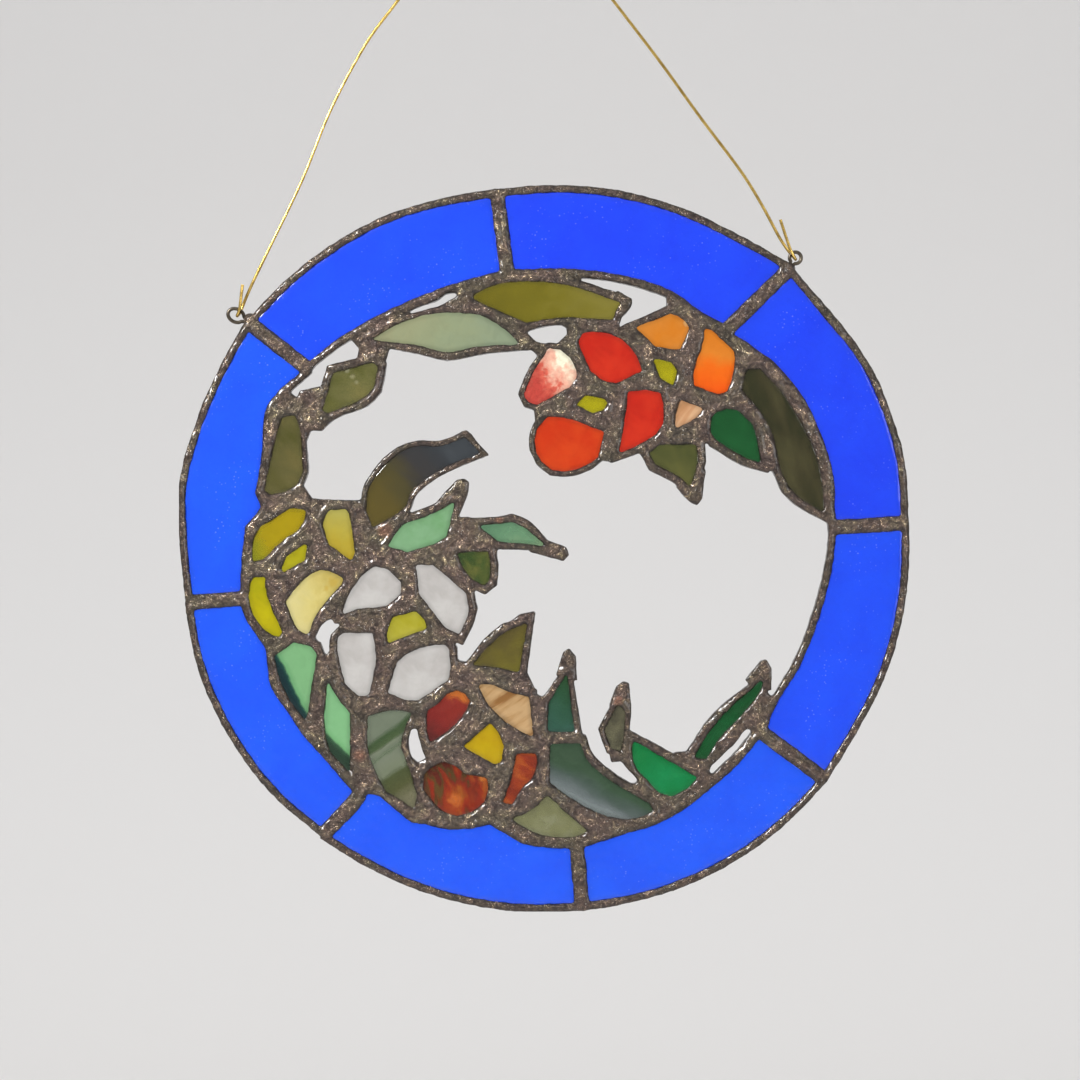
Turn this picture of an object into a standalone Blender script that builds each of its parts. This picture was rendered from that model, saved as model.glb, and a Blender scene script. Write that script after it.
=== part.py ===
"""Round stained glass panel in copper foil, hung by a brass wire.

A ring of eight blue glass segments holds a wreath of flowers and leaves in small pieces of
glass. One lattice of foil and solder grips every piece in a groove around its edge. Two wire
eyelets are soldered into the rim, and a folded brass wire hooks through both of them.

Metres, +Z up. The panel stands in the XZ plane and its front faces -Y. The origin is where a
hook carries the hanging wire, at the underside of the wire's highest bend.
"""
import math

import bmesh
import bpy
from mathutils import Vector
from mathutils.geometry import delaunay_2d_cdt

# Driving dimensions
PANEL_DIAMETER = 0.200       # the ring of glass and solder, nominal
HANG_DROP = 0.188            # from the hook down to the middle of the ring
HANG_OFFSET = 0.0116         # the ring's middle lies this far right of the hook
GLASS_THICKNESS = 0.003
FOIL_LAP = 0.0007            # foil and solder over the edge of each face of the glass
SOLDER_HEIGHT = 0.001        # bead above each face of the glass
FIT_GAP = 0.0003             # between the glass and its groove, and round the eyelets
LEAF_RIM = 0.0016            # solder beyond the glass, round flowers and leaves
THIN_RIM = 0.0009            # the same, where less solder was laid
RING_RIM = 0.0014            # solder beyond the glass, round the ring
SEAM_WIDTH = 0.0041          # solder seen between two segments of the ring
EYELET_WIRE = 0.0010         # thickness of the eyelets' wire
EYELET_LEG = 0.0022          # leg of an eyelet inside its solder pad
PAD_RADIUS = 0.0026          # solder pad that holds an eyelet's leg
PAD_PROUD = 0.0004           # how far the pad stands out of the rim
HANGER_WIRE = 0.00085        # thickness of the hanging wire

# The cartoon is the paper pattern under the glass. It is drawn in its own units, x to the
# right and y down, and scaled so that SHEET_RADIUS is half of PANEL_DIAMETER.
SHEET_MIDDLE = (545.0, 549.0)
SHEET_RADIUS = 363.0
SHEET_UNIT = PANEL_DIAMETER / 2 / SHEET_RADIUS

# The hand cut rim isn't quite round: (angle in degrees from +X, radius on the sheet)
RIM = (
    (4, 364), (12, 369), (30, 373), (40, 369), (45, 369), (49, 374), (60, 368), (75, 366), (97, 362),
    (105, 364), (115, 369), (125, 371), (142, 375), (155, 371), (170, 371), (180, 364),
    (189, 363), (200, 367), (220, 367), (235, 364), (276, 362), (290, 364), (305, 365),
    (320, 364), (330, 361), (345, 363),
)

# Seams of the ring: (angle at the rim, angle at the inner edge, inner radius on the sheet)
SEAMS = (
    (4.1, 4.3, 291), (49.0, 50.3, 286), (97.7, 97.8, 281), (142.6, 142.8, 301),
    (188.6, 189.2, 308), (232.2, 233.0, 310), (275.9, 276.1, 300), (320.5, 319.8, 285),
)

# Inner edge of each segment's window between its two seams: (angle, radius on the sheet)
SEGMENTS = {
    "ring_glass_right_upper": ((14, 297), (22, 298), (30, 299), (38, 296), (44, 290)),
    "ring_glass_top_right": ((56, 284), (64, 287), (74, 284), (85, 281)),
    "ring_glass_top_left": ((107, 280), (117, 282), (126, 287), (135, 295)),
    "ring_glass_left_upper": (
        (150, 310), (154, 311), (157, 306), (161, 299), (165, 296), (169, 295), (171.5, 287),
        (173.5, 292), (175.6, 300), (182, 303)),
    "ring_glass_left_lower": (
        (193, 307), (197, 300), (199.5, 297), (202.5, 300), (206, 306), (209, 306), (213, 304),
        (217, 305), (220, 304), (226, 305)),
    "ring_glass_bottom_left": (
        (234, 302), (236, 297), (239, 299), (244, 304), (246.3, 300), (251, 296), (255, 289),
        (258.7, 280), (262, 287), (266, 295), (271, 298)),
    "ring_glass_bottom_right": ((284, 296), (294, 296), (304, 291), (313, 288)),
    "ring_glass_right_lower": ((325, 279), (336, 280), (346, 282), (356, 287)),
}
ARC_STEPS = 5                # straight runs in each segment's outer edge

# Windows of the wreath, drawn inside the solder, with only the points that each shape needs
LEAVES = {
    "leaf_sage_top": (
        (371, 340), (399, 324), (420, 317), (447, 313), (480, 315), (504, 329), (520, 345),
        (482, 346), (447, 352), (420, 346)),
    "leaf_olive_top": (
        (472, 298), (482, 291), (498, 285), (522, 282), (551, 283), (573, 287), (620, 303),
        (612, 320), (559, 318), (527, 323), (503, 313)),
    "leaf_olive_upper_left": (
        (334, 373), (372, 363), (378, 367), (374, 388), (364, 398), (329, 413), (323, 411)),
    "leaf_olive_left": (
        (295, 415), (282, 418), (273, 452), (265, 491), (272, 495), (288, 490), (298, 484),
        (303, 471), (300, 430)),
    "leaf_charcoal_curved": (
        (373, 527), (367, 512), (368, 493), (373, 481), (397, 455), (414, 447), (442, 446),
        (465, 437), (480, 453), (442, 469), (423, 481), (411, 493), (406, 506), (395, 515)),
    "leaf_mint_middle": (
        (455, 501), (447, 536), (440, 541), (408, 552), (388, 546), (402, 525), (436, 512)),
    "leaf_teal_middle": (
        (480, 526), (511, 522), (523, 527), (546, 546), (497, 541)),
    "leaf_dark_green_small": (
        (457, 553), (488, 551), (490, 565), (489, 581), (484, 585), (472, 579), (463, 567)),
    "leaf_dark_green_right": (
        (711, 419), (716, 412), (727, 409), (738, 411), (752, 425), (757, 443), (760, 463),
        (746, 458), (715, 440), (710, 432)),
    "leaf_olive_below_flower": (
        (649, 453), (659, 445), (696, 445), (697, 461), (690, 487), (678, 476), (667, 470),
        (655, 464)),
    "leaf_dark_olive_right": (
        (746, 370), (759, 369), (784, 397), (808, 438), (817, 462), (822, 490), (823, 513),
        (800, 498), (788, 487), (780, 468), (769, 426), (742, 390)),
    "leaf_mint_left": (
        (294, 642), (311, 646), (317, 655), (312, 686), (306, 721), (291, 700), (280, 678),
        (275, 656)),
    "leaf_mint_dark_edge": (
        (328, 681), (336, 695), (350, 713), (350, 772), (331, 752), (325, 732)),
    "leaf_streaky_green": (
        (368, 716), (384, 711), (399, 710), (412, 712), (403, 733), (401, 747), (409, 768),
        (417, 794), (414, 808), (386, 790), (370, 756)),
    "leaf_olive_pointed": (
        (527, 623), (519, 672), (489, 666), (472, 665), (492, 643), (507, 631)),
    "leaf_dark_green_upright": (
        (567, 672), (574, 731), (548, 731), (548, 704)),
    "leaf_slate_crescent": (
        (550, 744), (580, 743), (585, 757), (596, 769), (613, 782), (648, 802), (653, 810),
        (638, 817), (620, 818), (598, 812), (573, 799), (550, 782)),
    "leaf_sage_bottom": (
        (547, 795), (568, 814), (588, 831), (578, 835), (553, 836), (533, 831), (511, 818),
        (530, 811)),
    "leaf_grey_green_right": (
        (618, 703), (625, 712), (624, 726), (621, 751), (611, 748), (604, 729)),
    "leaf_emerald": (
        (633, 740), (666, 759), (697, 777), (689, 786), (671, 796), (659, 792), (636, 768),
        (632, 755)),
    "leaf_dark_emerald": (
        (763, 678), (759, 691), (747, 708), (719, 738), (706, 758), (696, 758), (694, 755),
        (719, 719)),
}
PETALS = {
    "petal_mottled_pink": (
        (549, 349), (560, 350), (570, 359), (576, 370), (576, 378), (570, 387), (537, 405),
        (528, 402), (524, 394), (533, 373)),
    "petal_red_top": (
        (583, 334), (595, 332), (616, 337), (628, 346), (636, 357), (642, 371), (615, 384),
        (604, 381), (590, 371), (578, 342)),
    "petal_orange_top": (
        (635, 328), (670, 314), (682, 320), (689, 328), (680, 350), (656, 347)),
    "petal_orange_right": (
        (704, 329), (711, 330), (734, 352), (734, 366), (727, 392), (717, 394), (694, 386),
        (694, 370), (703, 341)),
    "petal_orange_red_round": (
        (548, 417), (563, 418), (604, 432), (598, 457), (587, 465), (567, 471), (552, 470),
        (541, 461), (535, 448), (535, 437), (538, 427)),
    "petal_red_lower": (
        (628, 392), (645, 391), (660, 393), (663, 406), (663, 423), (656, 434), (640, 444),
        (619, 453), (625, 420)),
    "petal_peach_small": (
        (680, 400), (703, 409), (694, 419), (675, 429), (676, 412)),
    "petal_gold_left": (
        (290, 509), (306, 510), (304, 521), (299, 530), (282, 541), (264, 559), (253, 562),
        (253, 550), (255, 537), (261, 527)),
    "petal_gold_upper": (
        (331, 510), (346, 509), (349, 514), (355, 553), (352, 561), (329, 544), (323, 524),
        (326, 515)),
    "petal_yellow_left": (
        (254, 577), (266, 577), (266, 589), (273, 611), (283, 632), (280, 637), (272, 635),
        (262, 626), (254, 614), (250, 600), (250, 590), (251, 583)),
    "petal_pale_yellow": (
        (322, 570), (329, 571), (343, 578), (342, 584), (317, 614), (308, 634), (301, 631),
        (295, 625), (286, 601), (307, 577)),
    "petal_white_left": (
        (375, 566), (389, 570), (401, 582), (401, 594), (387, 606), (354, 610), (342, 615),
        (346, 601), (364, 574)),
    "petal_white_right": (
        (416, 565), (433, 565), (466, 593), (469, 608), (466, 620), (459, 634), (445, 627),
        (419, 593)),
    "petal_white_lower_left": (
        (344, 633), (373, 632), (376, 658), (369, 695), (359, 696), (345, 683), (338, 650),
        (338, 638)),
    "petal_white_lower_right": (
        (408, 653), (424, 647), (445, 644), (449, 650), (450, 667), (448, 680), (419, 700),
        (405, 699), (388, 692), (397, 662)),
    "petal_dark_red": (
        (456, 690), (465, 693), (470, 701), (465, 712), (442, 735), (430, 742), (427, 727),
        (428, 710), (439, 703), (447, 694)),
    "petal_peach_bottom": (
        (478, 684), (492, 685), (510, 692), (529, 696), (533, 736), (519, 730), (490, 706)),
    "petal_orange_mottled": (
        (444, 761), (457, 767), (464, 773), (487, 778), (488, 788), (484, 802), (472, 811),
        (457, 815), (447, 812), (431, 799), (424, 788), (425, 773), (433, 766)),
    "petal_orange_red_bottom": (
        (516, 753), (536, 753), (537, 762), (532, 778), (522, 788), (512, 804), (503, 802),
        (513, 773)),
}
CENTRES = {
    "centre_lime_large": ((652, 359), (670, 362), (677, 371), (673, 386), (661, 379)),
    "centre_lime_small": (
        (585, 395), (604, 399), (607, 403), (604, 410), (593, 413), (576, 405)),
    "centre_lime_left": (
        (304, 544), (308, 545), (305, 560), (283, 573), (282, 567), (287, 557)),
    "centre_yellow_white_flower": (
        (393, 617), (416, 611), (425, 620), (427, 628), (388, 643), (388, 631)),
    "centre_yellow_bottom": (
        (490, 722), (498, 732), (503, 745), (502, 760), (495, 764), (463, 746)),
}

# Pieces with THIN_RIM round them
THIN_RIMMED = (
    "leaf_charcoal_curved", "leaf_grey_green_right", "leaf_olive_left", "petal_mottled_pink",
    "petal_orange_red_round",
)

# Solder that isn't beside one piece of glass: beds between petals, joints of leaves, and tips
PUDDLES = {
    "bed_red_flower": (
        (550, 375), (595, 340), (660, 330), (690, 320), (716, 325), (745, 345), (765, 362),
        (770, 430), (757, 458), (725, 430), (680, 450), (640, 430), (570, 440), (545, 405)),
    "bed_gold_flower": (
        (262, 500), (300, 498), (345, 500), (372, 500), (378, 545), (372, 580), (330, 595),
        (300, 640), (268, 625), (250, 590), (250, 545)),
    "bed_white_flower": (
        (370, 555), (440, 545), (490, 560), (462, 600), (455, 640), (440, 680), (395, 705),
        (350, 680), (342, 632), (345, 600)),
    "bed_red_flower_below": (
        (445, 690), (490, 672), (535, 690), (545, 740), (540, 800), (510, 815), (455, 812),
        (427, 783), (436, 715)),
    "joint_top_leaves": ((462, 318), (462, 301), (492, 300), (545, 330), (505, 342)),
    "joint_red_flower_top": ((575, 318), (617, 318), (640, 330), (640, 350), (580, 345)),
    "joint_pink_petal_top": ((505, 326), (527, 330), (535, 341), (560, 345), (540, 358)),
    "joint_pink_and_round_petal": ((534, 402), (560, 400), (560, 425), (535, 424)),
    "joint_red_petals_below": ((600, 428), (622, 428), (620, 456), (611, 462), (604, 461), (598, 455)),
    "joint_below_top_leaves": (
        (565, 322), (582, 322), (584, 350), (566, 352), (556, 345), (567, 334)),
    "joint_ring_and_sage": (
        (352, 341), (372, 328), (398, 312), (425, 300), (460, 288), (466, 300), (447, 312),
        (420, 318), (398, 326), (380, 340), (360, 350)),
    "joint_ring_and_olive_top": ((560, 272), (572, 273), (574, 282), (562, 284)),
    "joint_ring_and_orange": ((666, 299), (678, 301), (702, 320), (696, 326), (684, 322), (667, 308)),
    "joint_dark_leaves_right": ((756, 445), (776, 445), (779, 468), (771, 471), (766, 471), (758, 466)),
    "joint_olive_right_end": ((617, 291), (632, 299), (632, 308), (618, 326), (606, 318)),
    "joint_sage_and_olive": (
        (357, 338), (390, 345), (389, 351), (384, 368), (350, 371), (357, 358), (360, 346)),
    "joint_upper_left_leaves": (
        (300, 391), (322, 386), (336, 405), (334, 420), (322, 431), (311, 431), (305, 445),
        (285, 425)),
    "joint_leaf_and_gold_flower": (
        (252, 487), (300, 480), (311, 497), (300, 515), (258, 535), (248, 530)),
    "joint_left_ring_and_leaves": ((275, 400), (290, 392), (300, 400), (290, 420), (268, 440)),
    "joint_charcoal_leaf": (
        (362, 505), (405, 505), (415, 522), (392, 560), (370, 562), (350, 545)),
    "joint_teal_leaf": ((440, 500), (458, 517), (500, 517), (497, 555), (450, 560), (430, 545)),
    "joint_left_ring_below": ((262, 625), (285, 640), (285, 655), (266, 660), (256, 635)),
    "joint_yellow_and_white": (
        (334, 596), (348, 598), (344, 616), (334, 620), (328, 620), (321, 626), (316, 616)),
    "joint_mint_and_white": ((319, 652), (331, 652), (342, 677), (331, 678), (324, 670)),
    "joint_mint_leaves": (
        (306, 640), (322, 642), (330, 672), (345, 690), (335, 730), (326, 752), (308, 745),
        (298, 725)),
    "joint_streaky_leaf": (
        (345, 697), (368, 690), (390, 692), (402, 706), (400, 800), (370, 795), (348, 780)),
    "joint_streaky_and_dark_red": (
        (404, 712), (425, 705), (434, 738), (437, 765), (410, 768), (404, 745)),
    "joint_below_flower": ((405, 762), (430, 762), (450, 812), (440, 820), (405, 815)),
    "joint_bottom_ring": ((440, 812), (505, 800), (555, 790), (525, 835), (455, 835)),
    "joint_olive_pointed": ((455, 660), (462, 661), (525, 668), (540, 700), (455, 690)),
    "joint_upright_leaf": ((528, 690), (550, 700), (556, 800), (530, 800)),
    "joint_crescent_ring": ((575, 805), (615, 812), (660, 800), (690, 795), (640, 835), (585, 843)),
    "joint_grey_green_leaf": (
        (608, 745), (625, 745), (638, 757), (648, 798), (625, 790), (629, 771), (621, 761),
        (611, 762)),
    "joint_emerald_leaves": ((675, 752), (690, 751), (700, 738), (715, 765), (700, 795), (670, 790)),
    "joint_emerald_and_ring": (
        (742, 716), (762, 720), (762, 735), (745, 755), (715, 785), (700, 790), (700, 770),
        (712, 757)),
    "joint_dark_emerald_ring": (
        (765, 690), (771, 696), (776, 693), (784, 700), (765, 728), (751, 728), (745, 715)),
    "tip_mint_middle": (
        (438, 501), (448, 489), (457, 480), (464, 479), (469, 482), (469, 488), (459, 516)),
    "tip_teal_middle": ((530, 527), (542, 538), (566, 547), (569, 555), (563, 561), (530, 552)),
    "tip_olive_below": ((676, 487), (690, 502), (697, 505), (702, 499), (705, 470), (692, 470)),
    "tip_olive_pointed": ((505, 625), (520, 614), (534, 611), (534, 622), (528, 640)),
    "tip_upright_leaf": ((556, 675), (563, 652), (569, 648), (576, 656), (577, 680)),
    "tip_grey_green": ((609, 705), (616, 686), (623, 681), (629, 683), (631, 710), (620, 722)),
    "tip_dark_emerald": ((745, 680), (760, 661), (766, 659), (771, 668), (771, 690), (755, 690)),
    "tip_charcoal": ((462, 431), (471, 434), (485, 452), (480, 458), (465, 450)),
}

# Openings that the maker left between the pieces
GAPS = {
    "gap_above_sage_leaf": (
        (398, 317), (422, 306), (438, 300), (446, 294), (457, 293), (457, 297), (449, 301),
        (442, 305), (422, 311)),
    "gap_below_top_leaves": (
        (526, 332), (543, 327), (562, 325), (567, 330), (565, 335), (558, 340), (545, 344),
        (536, 342)),
    "gap_right_of_olive_leaf": (
        (632, 304), (640, 306), (655, 309), (636, 317), (627, 323), (618, 329), (621, 318),
        (630, 308)),
    "gap_in_white_flower": (
        (331, 618), (334, 623), (341, 624), (337, 628), (331, 634), (329, 645), (328, 656),
        (325, 654), (321, 643), (319, 636), (325, 625)),
    "gap_beside_streaky_leaf": (
        (411, 729), (417, 728), (420, 741), (423, 752), (426, 758), (418, 762), (412, 757),
        (409, 748), (409, 738)),
    "gap_beside_crescent": (
        (611, 762), (621, 761), (627, 768), (637, 779), (637, 783), (631, 783), (617, 775)),
    "gap_beside_emerald": (
        (746, 729), (750, 729), (751, 732), (736, 751), (722, 764), (712, 774), (709, 771),
        (711, 765), (722, 755), (735, 742), (741, 734)),
}

# Eyelets: (seam's angle, lean from the radius in degrees, half the loop's length, half its
# width), lengths in metres to the wire's middle
EYELETS = {
    "eyelet_left": (142.6, 10.0, 0.0023, 0.0018),
    "eyelet_right": (49.0, 12.0, 0.0016, 0.0016),
}
EYELET_OPENING = 110.0       # degrees of the loop that the wire leaves open beside its leg
EYELET_START = 215.0         # degrees round the loop, from its far end, where the bend starts
EYELET_STEPS = 12            # straight runs in an eyelet's bend

# The hanging wire from its left tail, through both eyelets, to its right tail, millimetres
HANGER_ROUTE_MM = (
    (-71.6, -1.2, -115.3), (-72.0, -1.3, -118.6), (-72.3, -1.3, -121.3), (-72.7, -1.1, -122.8),
    (-73.1, -0.6, -123.6), (-73.2, 0.0, -123.8), (-73.0, 0.6, -123.5), (-72.5, 1.1, -122.6),
    (-71.9, 1.3, -121.2), (-70.9, 1.1, -118.7), (-68.6, 0.3, -113.8), (-64.2, 0.0, -104.8),
    (-55.3, 0.0, -86.3), (-47.6, 0.0, -67.3), (-38.0, 0.0, -49.2), (-28.9, 0.0, -36.8),
    (-16.0, 0.0, -19.2), (-6.0, 0.0, -5.5), (-2.7, 0.0, -1.1), (-1.4, 0.0, 0.1),
    (0.0, 0.0, 0.43), (1.4, 0.0, 0.1), (2.8, 0.0, -1.1), (6.2, 0.0, -5.4),
    (16.5, 0.0, -18.8), (30.3, 0.0, -36.8), (43.3, 0.0, -53.8), (54.3, 0.0, -69.0),
    (65.3, 0.0, -83.6), (71.2, 0.1, -93.0), (75.8, 0.6, -101.4), (77.9, 1.1, -104.6),
    (79.2, 1.3, -106.3), (80.0, 1.1, -107.3), (80.5, 0.6, -108.0), (80.6, 0.0, -108.2),
    (80.3, -0.6, -107.8), (79.6, -1.1, -106.7), (78.6, -1.3, -104.4), (76.3, -1.2, -97.4),
)
MM = 0.001
HANGER_STEPS = 2             # points of the tube for each point of the route

# Depths across the panel, along Y
LATTICE_DEPTH = GLASS_THICKNESS + 2 * SOLDER_HEIGHT
GROOVE_DEPTH = GLASS_THICKNESS + 2 * FIT_GAP

FLOODED_SIZE = 0.0045        # a hole in the solder no longer than this is flooded
SLIVER = 0.0001              # points of the solder's outline closer than this become one
TOUCHING = 0.000002          # two points closer than this are one point
MEETING = 0.00001            # a plate's caps and sides, or two outlines, meet within this
STRAIGHT_ANGLE = 0.5         # degrees; a flatter corner of the solder's outline is left out

# Colours: name, linear RGB, roughness, metallic, transmission
FINISHES = {
    "solder": ((0.080, 0.064, 0.050), 0.50, 0.85, 0.0),
    "brass_wire": ((0.62, 0.40, 0.13), 0.30, 1.0, 0.0),
    "tinned_wire": ((0.17, 0.15, 0.12), 0.45, 0.9, 0.0),
    "glass_blue": ((0.010, 0.045, 0.85), 0.15, 0.0, 0.6),
    "glass_sage": ((0.35, 0.50, 0.33), 0.20, 0.0, 0.4),
    "glass_olive": ((0.16, 0.15, 0.025), 0.20, 0.0, 0.5),
    "glass_dark_olive": ((0.050, 0.047, 0.018), 0.20, 0.0, 0.4),
    "glass_mint": ((0.20, 0.60, 0.28), 0.20, 0.0, 0.5),
    "glass_teal": ((0.080, 0.30, 0.20), 0.20, 0.0, 0.5),
    "glass_dark_green": ((0.015, 0.11, 0.035), 0.20, 0.0, 0.5),
    "glass_slate": ((0.060, 0.11, 0.085), 0.20, 0.0, 0.4),
    "glass_pink": ((0.80, 0.33, 0.25), 0.30, 0.0, 0.4),
    "glass_red": ((0.72, 0.035, 0.012), 0.20, 0.0, 0.4),
    "glass_dark_red": ((0.36, 0.035, 0.018), 0.20, 0.0, 0.4),
    "glass_orange": ((0.85, 0.22, 0.018), 0.20, 0.0, 0.4),
    "glass_peach": ((0.66, 0.38, 0.17), 0.25, 0.0, 0.4),
    "glass_gold": ((0.52, 0.40, 0.015), 0.20, 0.0, 0.5),
    "glass_pale_yellow": ((0.78, 0.66, 0.28), 0.25, 0.0, 0.5),
    "glass_white": ((0.70, 0.67, 0.65), 0.25, 0.0, 0.3),
}
GLASS_COLOURS = {
    "leaf_sage_top": "glass_sage",
    "leaf_sage_bottom": "glass_sage",
    "leaf_olive_top": "glass_olive",
    "leaf_olive_upper_left": "glass_olive",
    "leaf_olive_left": "glass_olive",
    "leaf_olive_pointed": "glass_olive",
    "leaf_olive_below_flower": "glass_dark_olive",
    "leaf_dark_olive_right": "glass_dark_olive",
    "leaf_charcoal_curved": "glass_dark_olive",
    "leaf_grey_green_right": "glass_dark_olive",
    "leaf_mint_middle": "glass_mint",
    "leaf_mint_left": "glass_mint",
    "leaf_mint_dark_edge": "glass_mint",
    "leaf_teal_middle": "glass_teal",
    "leaf_streaky_green": "glass_sage",
    "leaf_slate_crescent": "glass_slate",
    "leaf_dark_green_small": "glass_dark_olive",
    "leaf_dark_green_right": "glass_dark_green",
    "leaf_dark_green_upright": "glass_dark_green",
    "leaf_emerald": "glass_dark_green",
    "leaf_dark_emerald": "glass_dark_green",
    "petal_mottled_pink": "glass_pink",
    "petal_red_top": "glass_red",
    "petal_red_lower": "glass_red",
    "petal_orange_red_round": "glass_red",
    "petal_dark_red": "glass_dark_red",
    "petal_orange_mottled": "glass_dark_red",
    "petal_orange_red_bottom": "glass_dark_red",
    "petal_orange_top": "glass_orange",
    "petal_orange_right": "glass_orange",
    "petal_peach_small": "glass_peach",
    "petal_peach_bottom": "glass_peach",
    "petal_gold_left": "glass_gold",
    "petal_gold_upper": "glass_gold",
    "petal_yellow_left": "glass_gold",
    "petal_pale_yellow": "glass_pale_yellow",
    "petal_white_left": "glass_white",
    "petal_white_right": "glass_white",
    "petal_white_lower_left": "glass_white",
    "petal_white_lower_right": "glass_white",
    "centre_lime_large": "glass_gold",
    "centre_lime_small": "glass_gold",
    "centre_lime_left": "glass_gold",
    "centre_yellow_white_flower": "glass_gold",
    "centre_yellow_bottom": "glass_gold",
}


def clear_scene():
    """Remove every object, so that the model is alone."""
    for thing in list(bpy.data.objects):
        bpy.data.objects.remove(thing, do_unlink=True)


def new_collection(name):
    """Return an empty collection of this name, linked to the scene."""
    group = bpy.data.collections.new(name)
    bpy.context.scene.collection.children.link(group)
    return group


def make_finish(name):
    """Return a Principled material with the finish's colour, roughness and metallic value."""
    colour, roughness, metallic, transmission = FINISHES[name]
    material = bpy.data.materials.new(name)
    material.use_nodes = True
    shader = material.node_tree.nodes["Principled BSDF"]
    shader.inputs["Base Color"].default_value = (*colour, 1.0)
    shader.inputs["Roughness"].default_value = roughness
    shader.inputs["Metallic"].default_value = metallic
    shader.inputs["Transmission Weight"].default_value = transmission
    return material


def sheet_point(point):
    """Turn a point of the cartoon into metres from the middle of the ring, x right, z up."""
    x = (point[0] - SHEET_MIDDLE[0]) * SHEET_UNIT
    z = (SHEET_MIDDLE[1] - point[1]) * SHEET_UNIT
    return Vector((x, z))


def sheet_outline(points):
    """Turn an outline of the cartoon into metres from the middle of the ring."""
    return [sheet_point(point) for point in points]


def polar(angle, radius):
    """Point at an angle in degrees and a radius in metres from the middle of the ring."""
    turn = math.radians(angle)
    return Vector((radius * math.cos(turn), radius * math.sin(turn)))


def rim_radius(angle):
    """Radius of the solder rim at an angle, read between the two nearest entries of RIM."""
    table = [(RIM[-1][0] - 360, RIM[-1][1]), *RIM, (RIM[0][0] + 360, RIM[0][1])]
    angle = (angle - table[0][0]) % 360 + table[0][0]
    for (start, low), (end, high) in zip(table, table[1:]):
        if angle <= end:
            share = (angle - start) / (end - start)
            return (low + (high - low) * share) * SHEET_UNIT
    return RIM[0][1] * SHEET_UNIT


def rim_width(name):
    """Width of the solder beyond the edge of a piece of glass."""
    if name in SEGMENTS:
        return RING_RIM
    return THIN_RIM if name in THIN_RIMMED else LEAF_RIM


def signed_area(outline):
    """Area of an outline, positive when it runs counter-clockwise."""
    pairs = zip(outline, outline[1:] + outline[:1])
    return sum(a.x * b.y - b.x * a.y for a, b in pairs) / 2


def outset(outline, distance, reach=1.6):
    """Move every edge of an outline outwards by a distance.

    A corner moves along its bisector, at most reach times the distance, so that a sharp tip
    doesn't run far beyond its piece.
    """
    outline = counter_clockwise(outline)
    moved = []
    for index, corner in enumerate(outline):
        before = (corner - outline[index - 1]).normalized()
        after = (outline[(index + 1) % len(outline)] - corner).normalized()
        normal = Vector((before.y, -before.x))
        bisector = (normal + Vector((after.y, -after.x))).normalized()
        mitre = min(1 / max(bisector.dot(normal), 1 / reach), reach)
        moved.append(corner + bisector * distance * mitre)
    return moved


def seam_side(seam, side):
    """Edge of the window beside a seam: its inner end and its outer end.

    side is +1 for the window counter-clockwise of the seam, and -1 for the other one.
    """
    outer_angle, inner_angle, inner_radius = seam
    outer = polar(outer_angle, rim_radius(outer_angle) - RING_RIM - FOIL_LAP)
    inner = polar(inner_angle, inner_radius * SHEET_UNIT)
    along = (outer - inner).normalized()
    aside = Vector((-along.y, along.x)) * side * SEAM_WIDTH / 2
    return inner + aside, outer + aside


def ring_windows():
    """Outlines of the eight windows of the ring, by name."""
    windows = {}
    for index, (name, inner_edge) in enumerate(SEGMENTS.items()):
        start_in, start_out = seam_side(SEAMS[index], 1)
        end_in, end_out = seam_side(SEAMS[(index + 1) % len(SEAMS)], -1)
        start_angle = math.degrees(math.atan2(start_out.y, start_out.x))
        end_angle = math.degrees(math.atan2(end_out.y, end_out.x))
        sweep = (end_angle - start_angle) % 360
        outer = [start_out]
        for step in range(1, ARC_STEPS):
            angle = start_angle + sweep * step / ARC_STEPS
            outer.append(polar(angle, rim_radius(angle) - RING_RIM - FOIL_LAP))
        outer.append(end_out)
        inner = [polar(angle, radius * SHEET_UNIT) for angle, radius in inner_edge]
        windows[name] = outer + [end_in] + inner[::-1] + [start_in]
    return windows


def seam_bars():
    """Strips of solder that fill the ring's seams from the inner edge to the rim."""
    bars = []
    for seam in SEAMS:
        left_in, left_out = seam_side(seam, 1)
        right_in, right_out = seam_side(seam, -1)
        along = (left_out - left_in).normalized() * (RING_RIM + FOIL_LAP)
        bars.append([right_in - along, right_out + along, left_out + along, left_in - along])
    return bars


def eyelet_frame(name):
    """Place of an eyelet: the point on the rim, and the directions along and across it."""
    seam_angle, lean = EYELETS[name][:2]
    foot = polar(seam_angle, rim_radius(seam_angle))
    along = polar(seam_angle + lean, 1.0)
    return foot, along, Vector((-along.y, along.x))


def eyelet_pads():
    """Round pads of solder at the rim, where the eyelets' legs go in."""
    pads = []
    for name in EYELETS:
        foot, along, across = eyelet_frame(name)
        middle = foot - along * (PAD_RADIUS - PAD_PROUD)
        turns = [math.radians(45 * step) for step in range(8)]
        pads.append([middle + (along * math.cos(turn) + across * math.sin(turn)) * PAD_RADIUS
                     for turn in turns])
    return pads


def place(outline, y):
    """Lift an outline into the panel's plane at a depth, hung below the hook."""
    return [Vector((point.x + HANG_OFFSET, y, point.y - HANG_DROP)) for point in outline]


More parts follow.
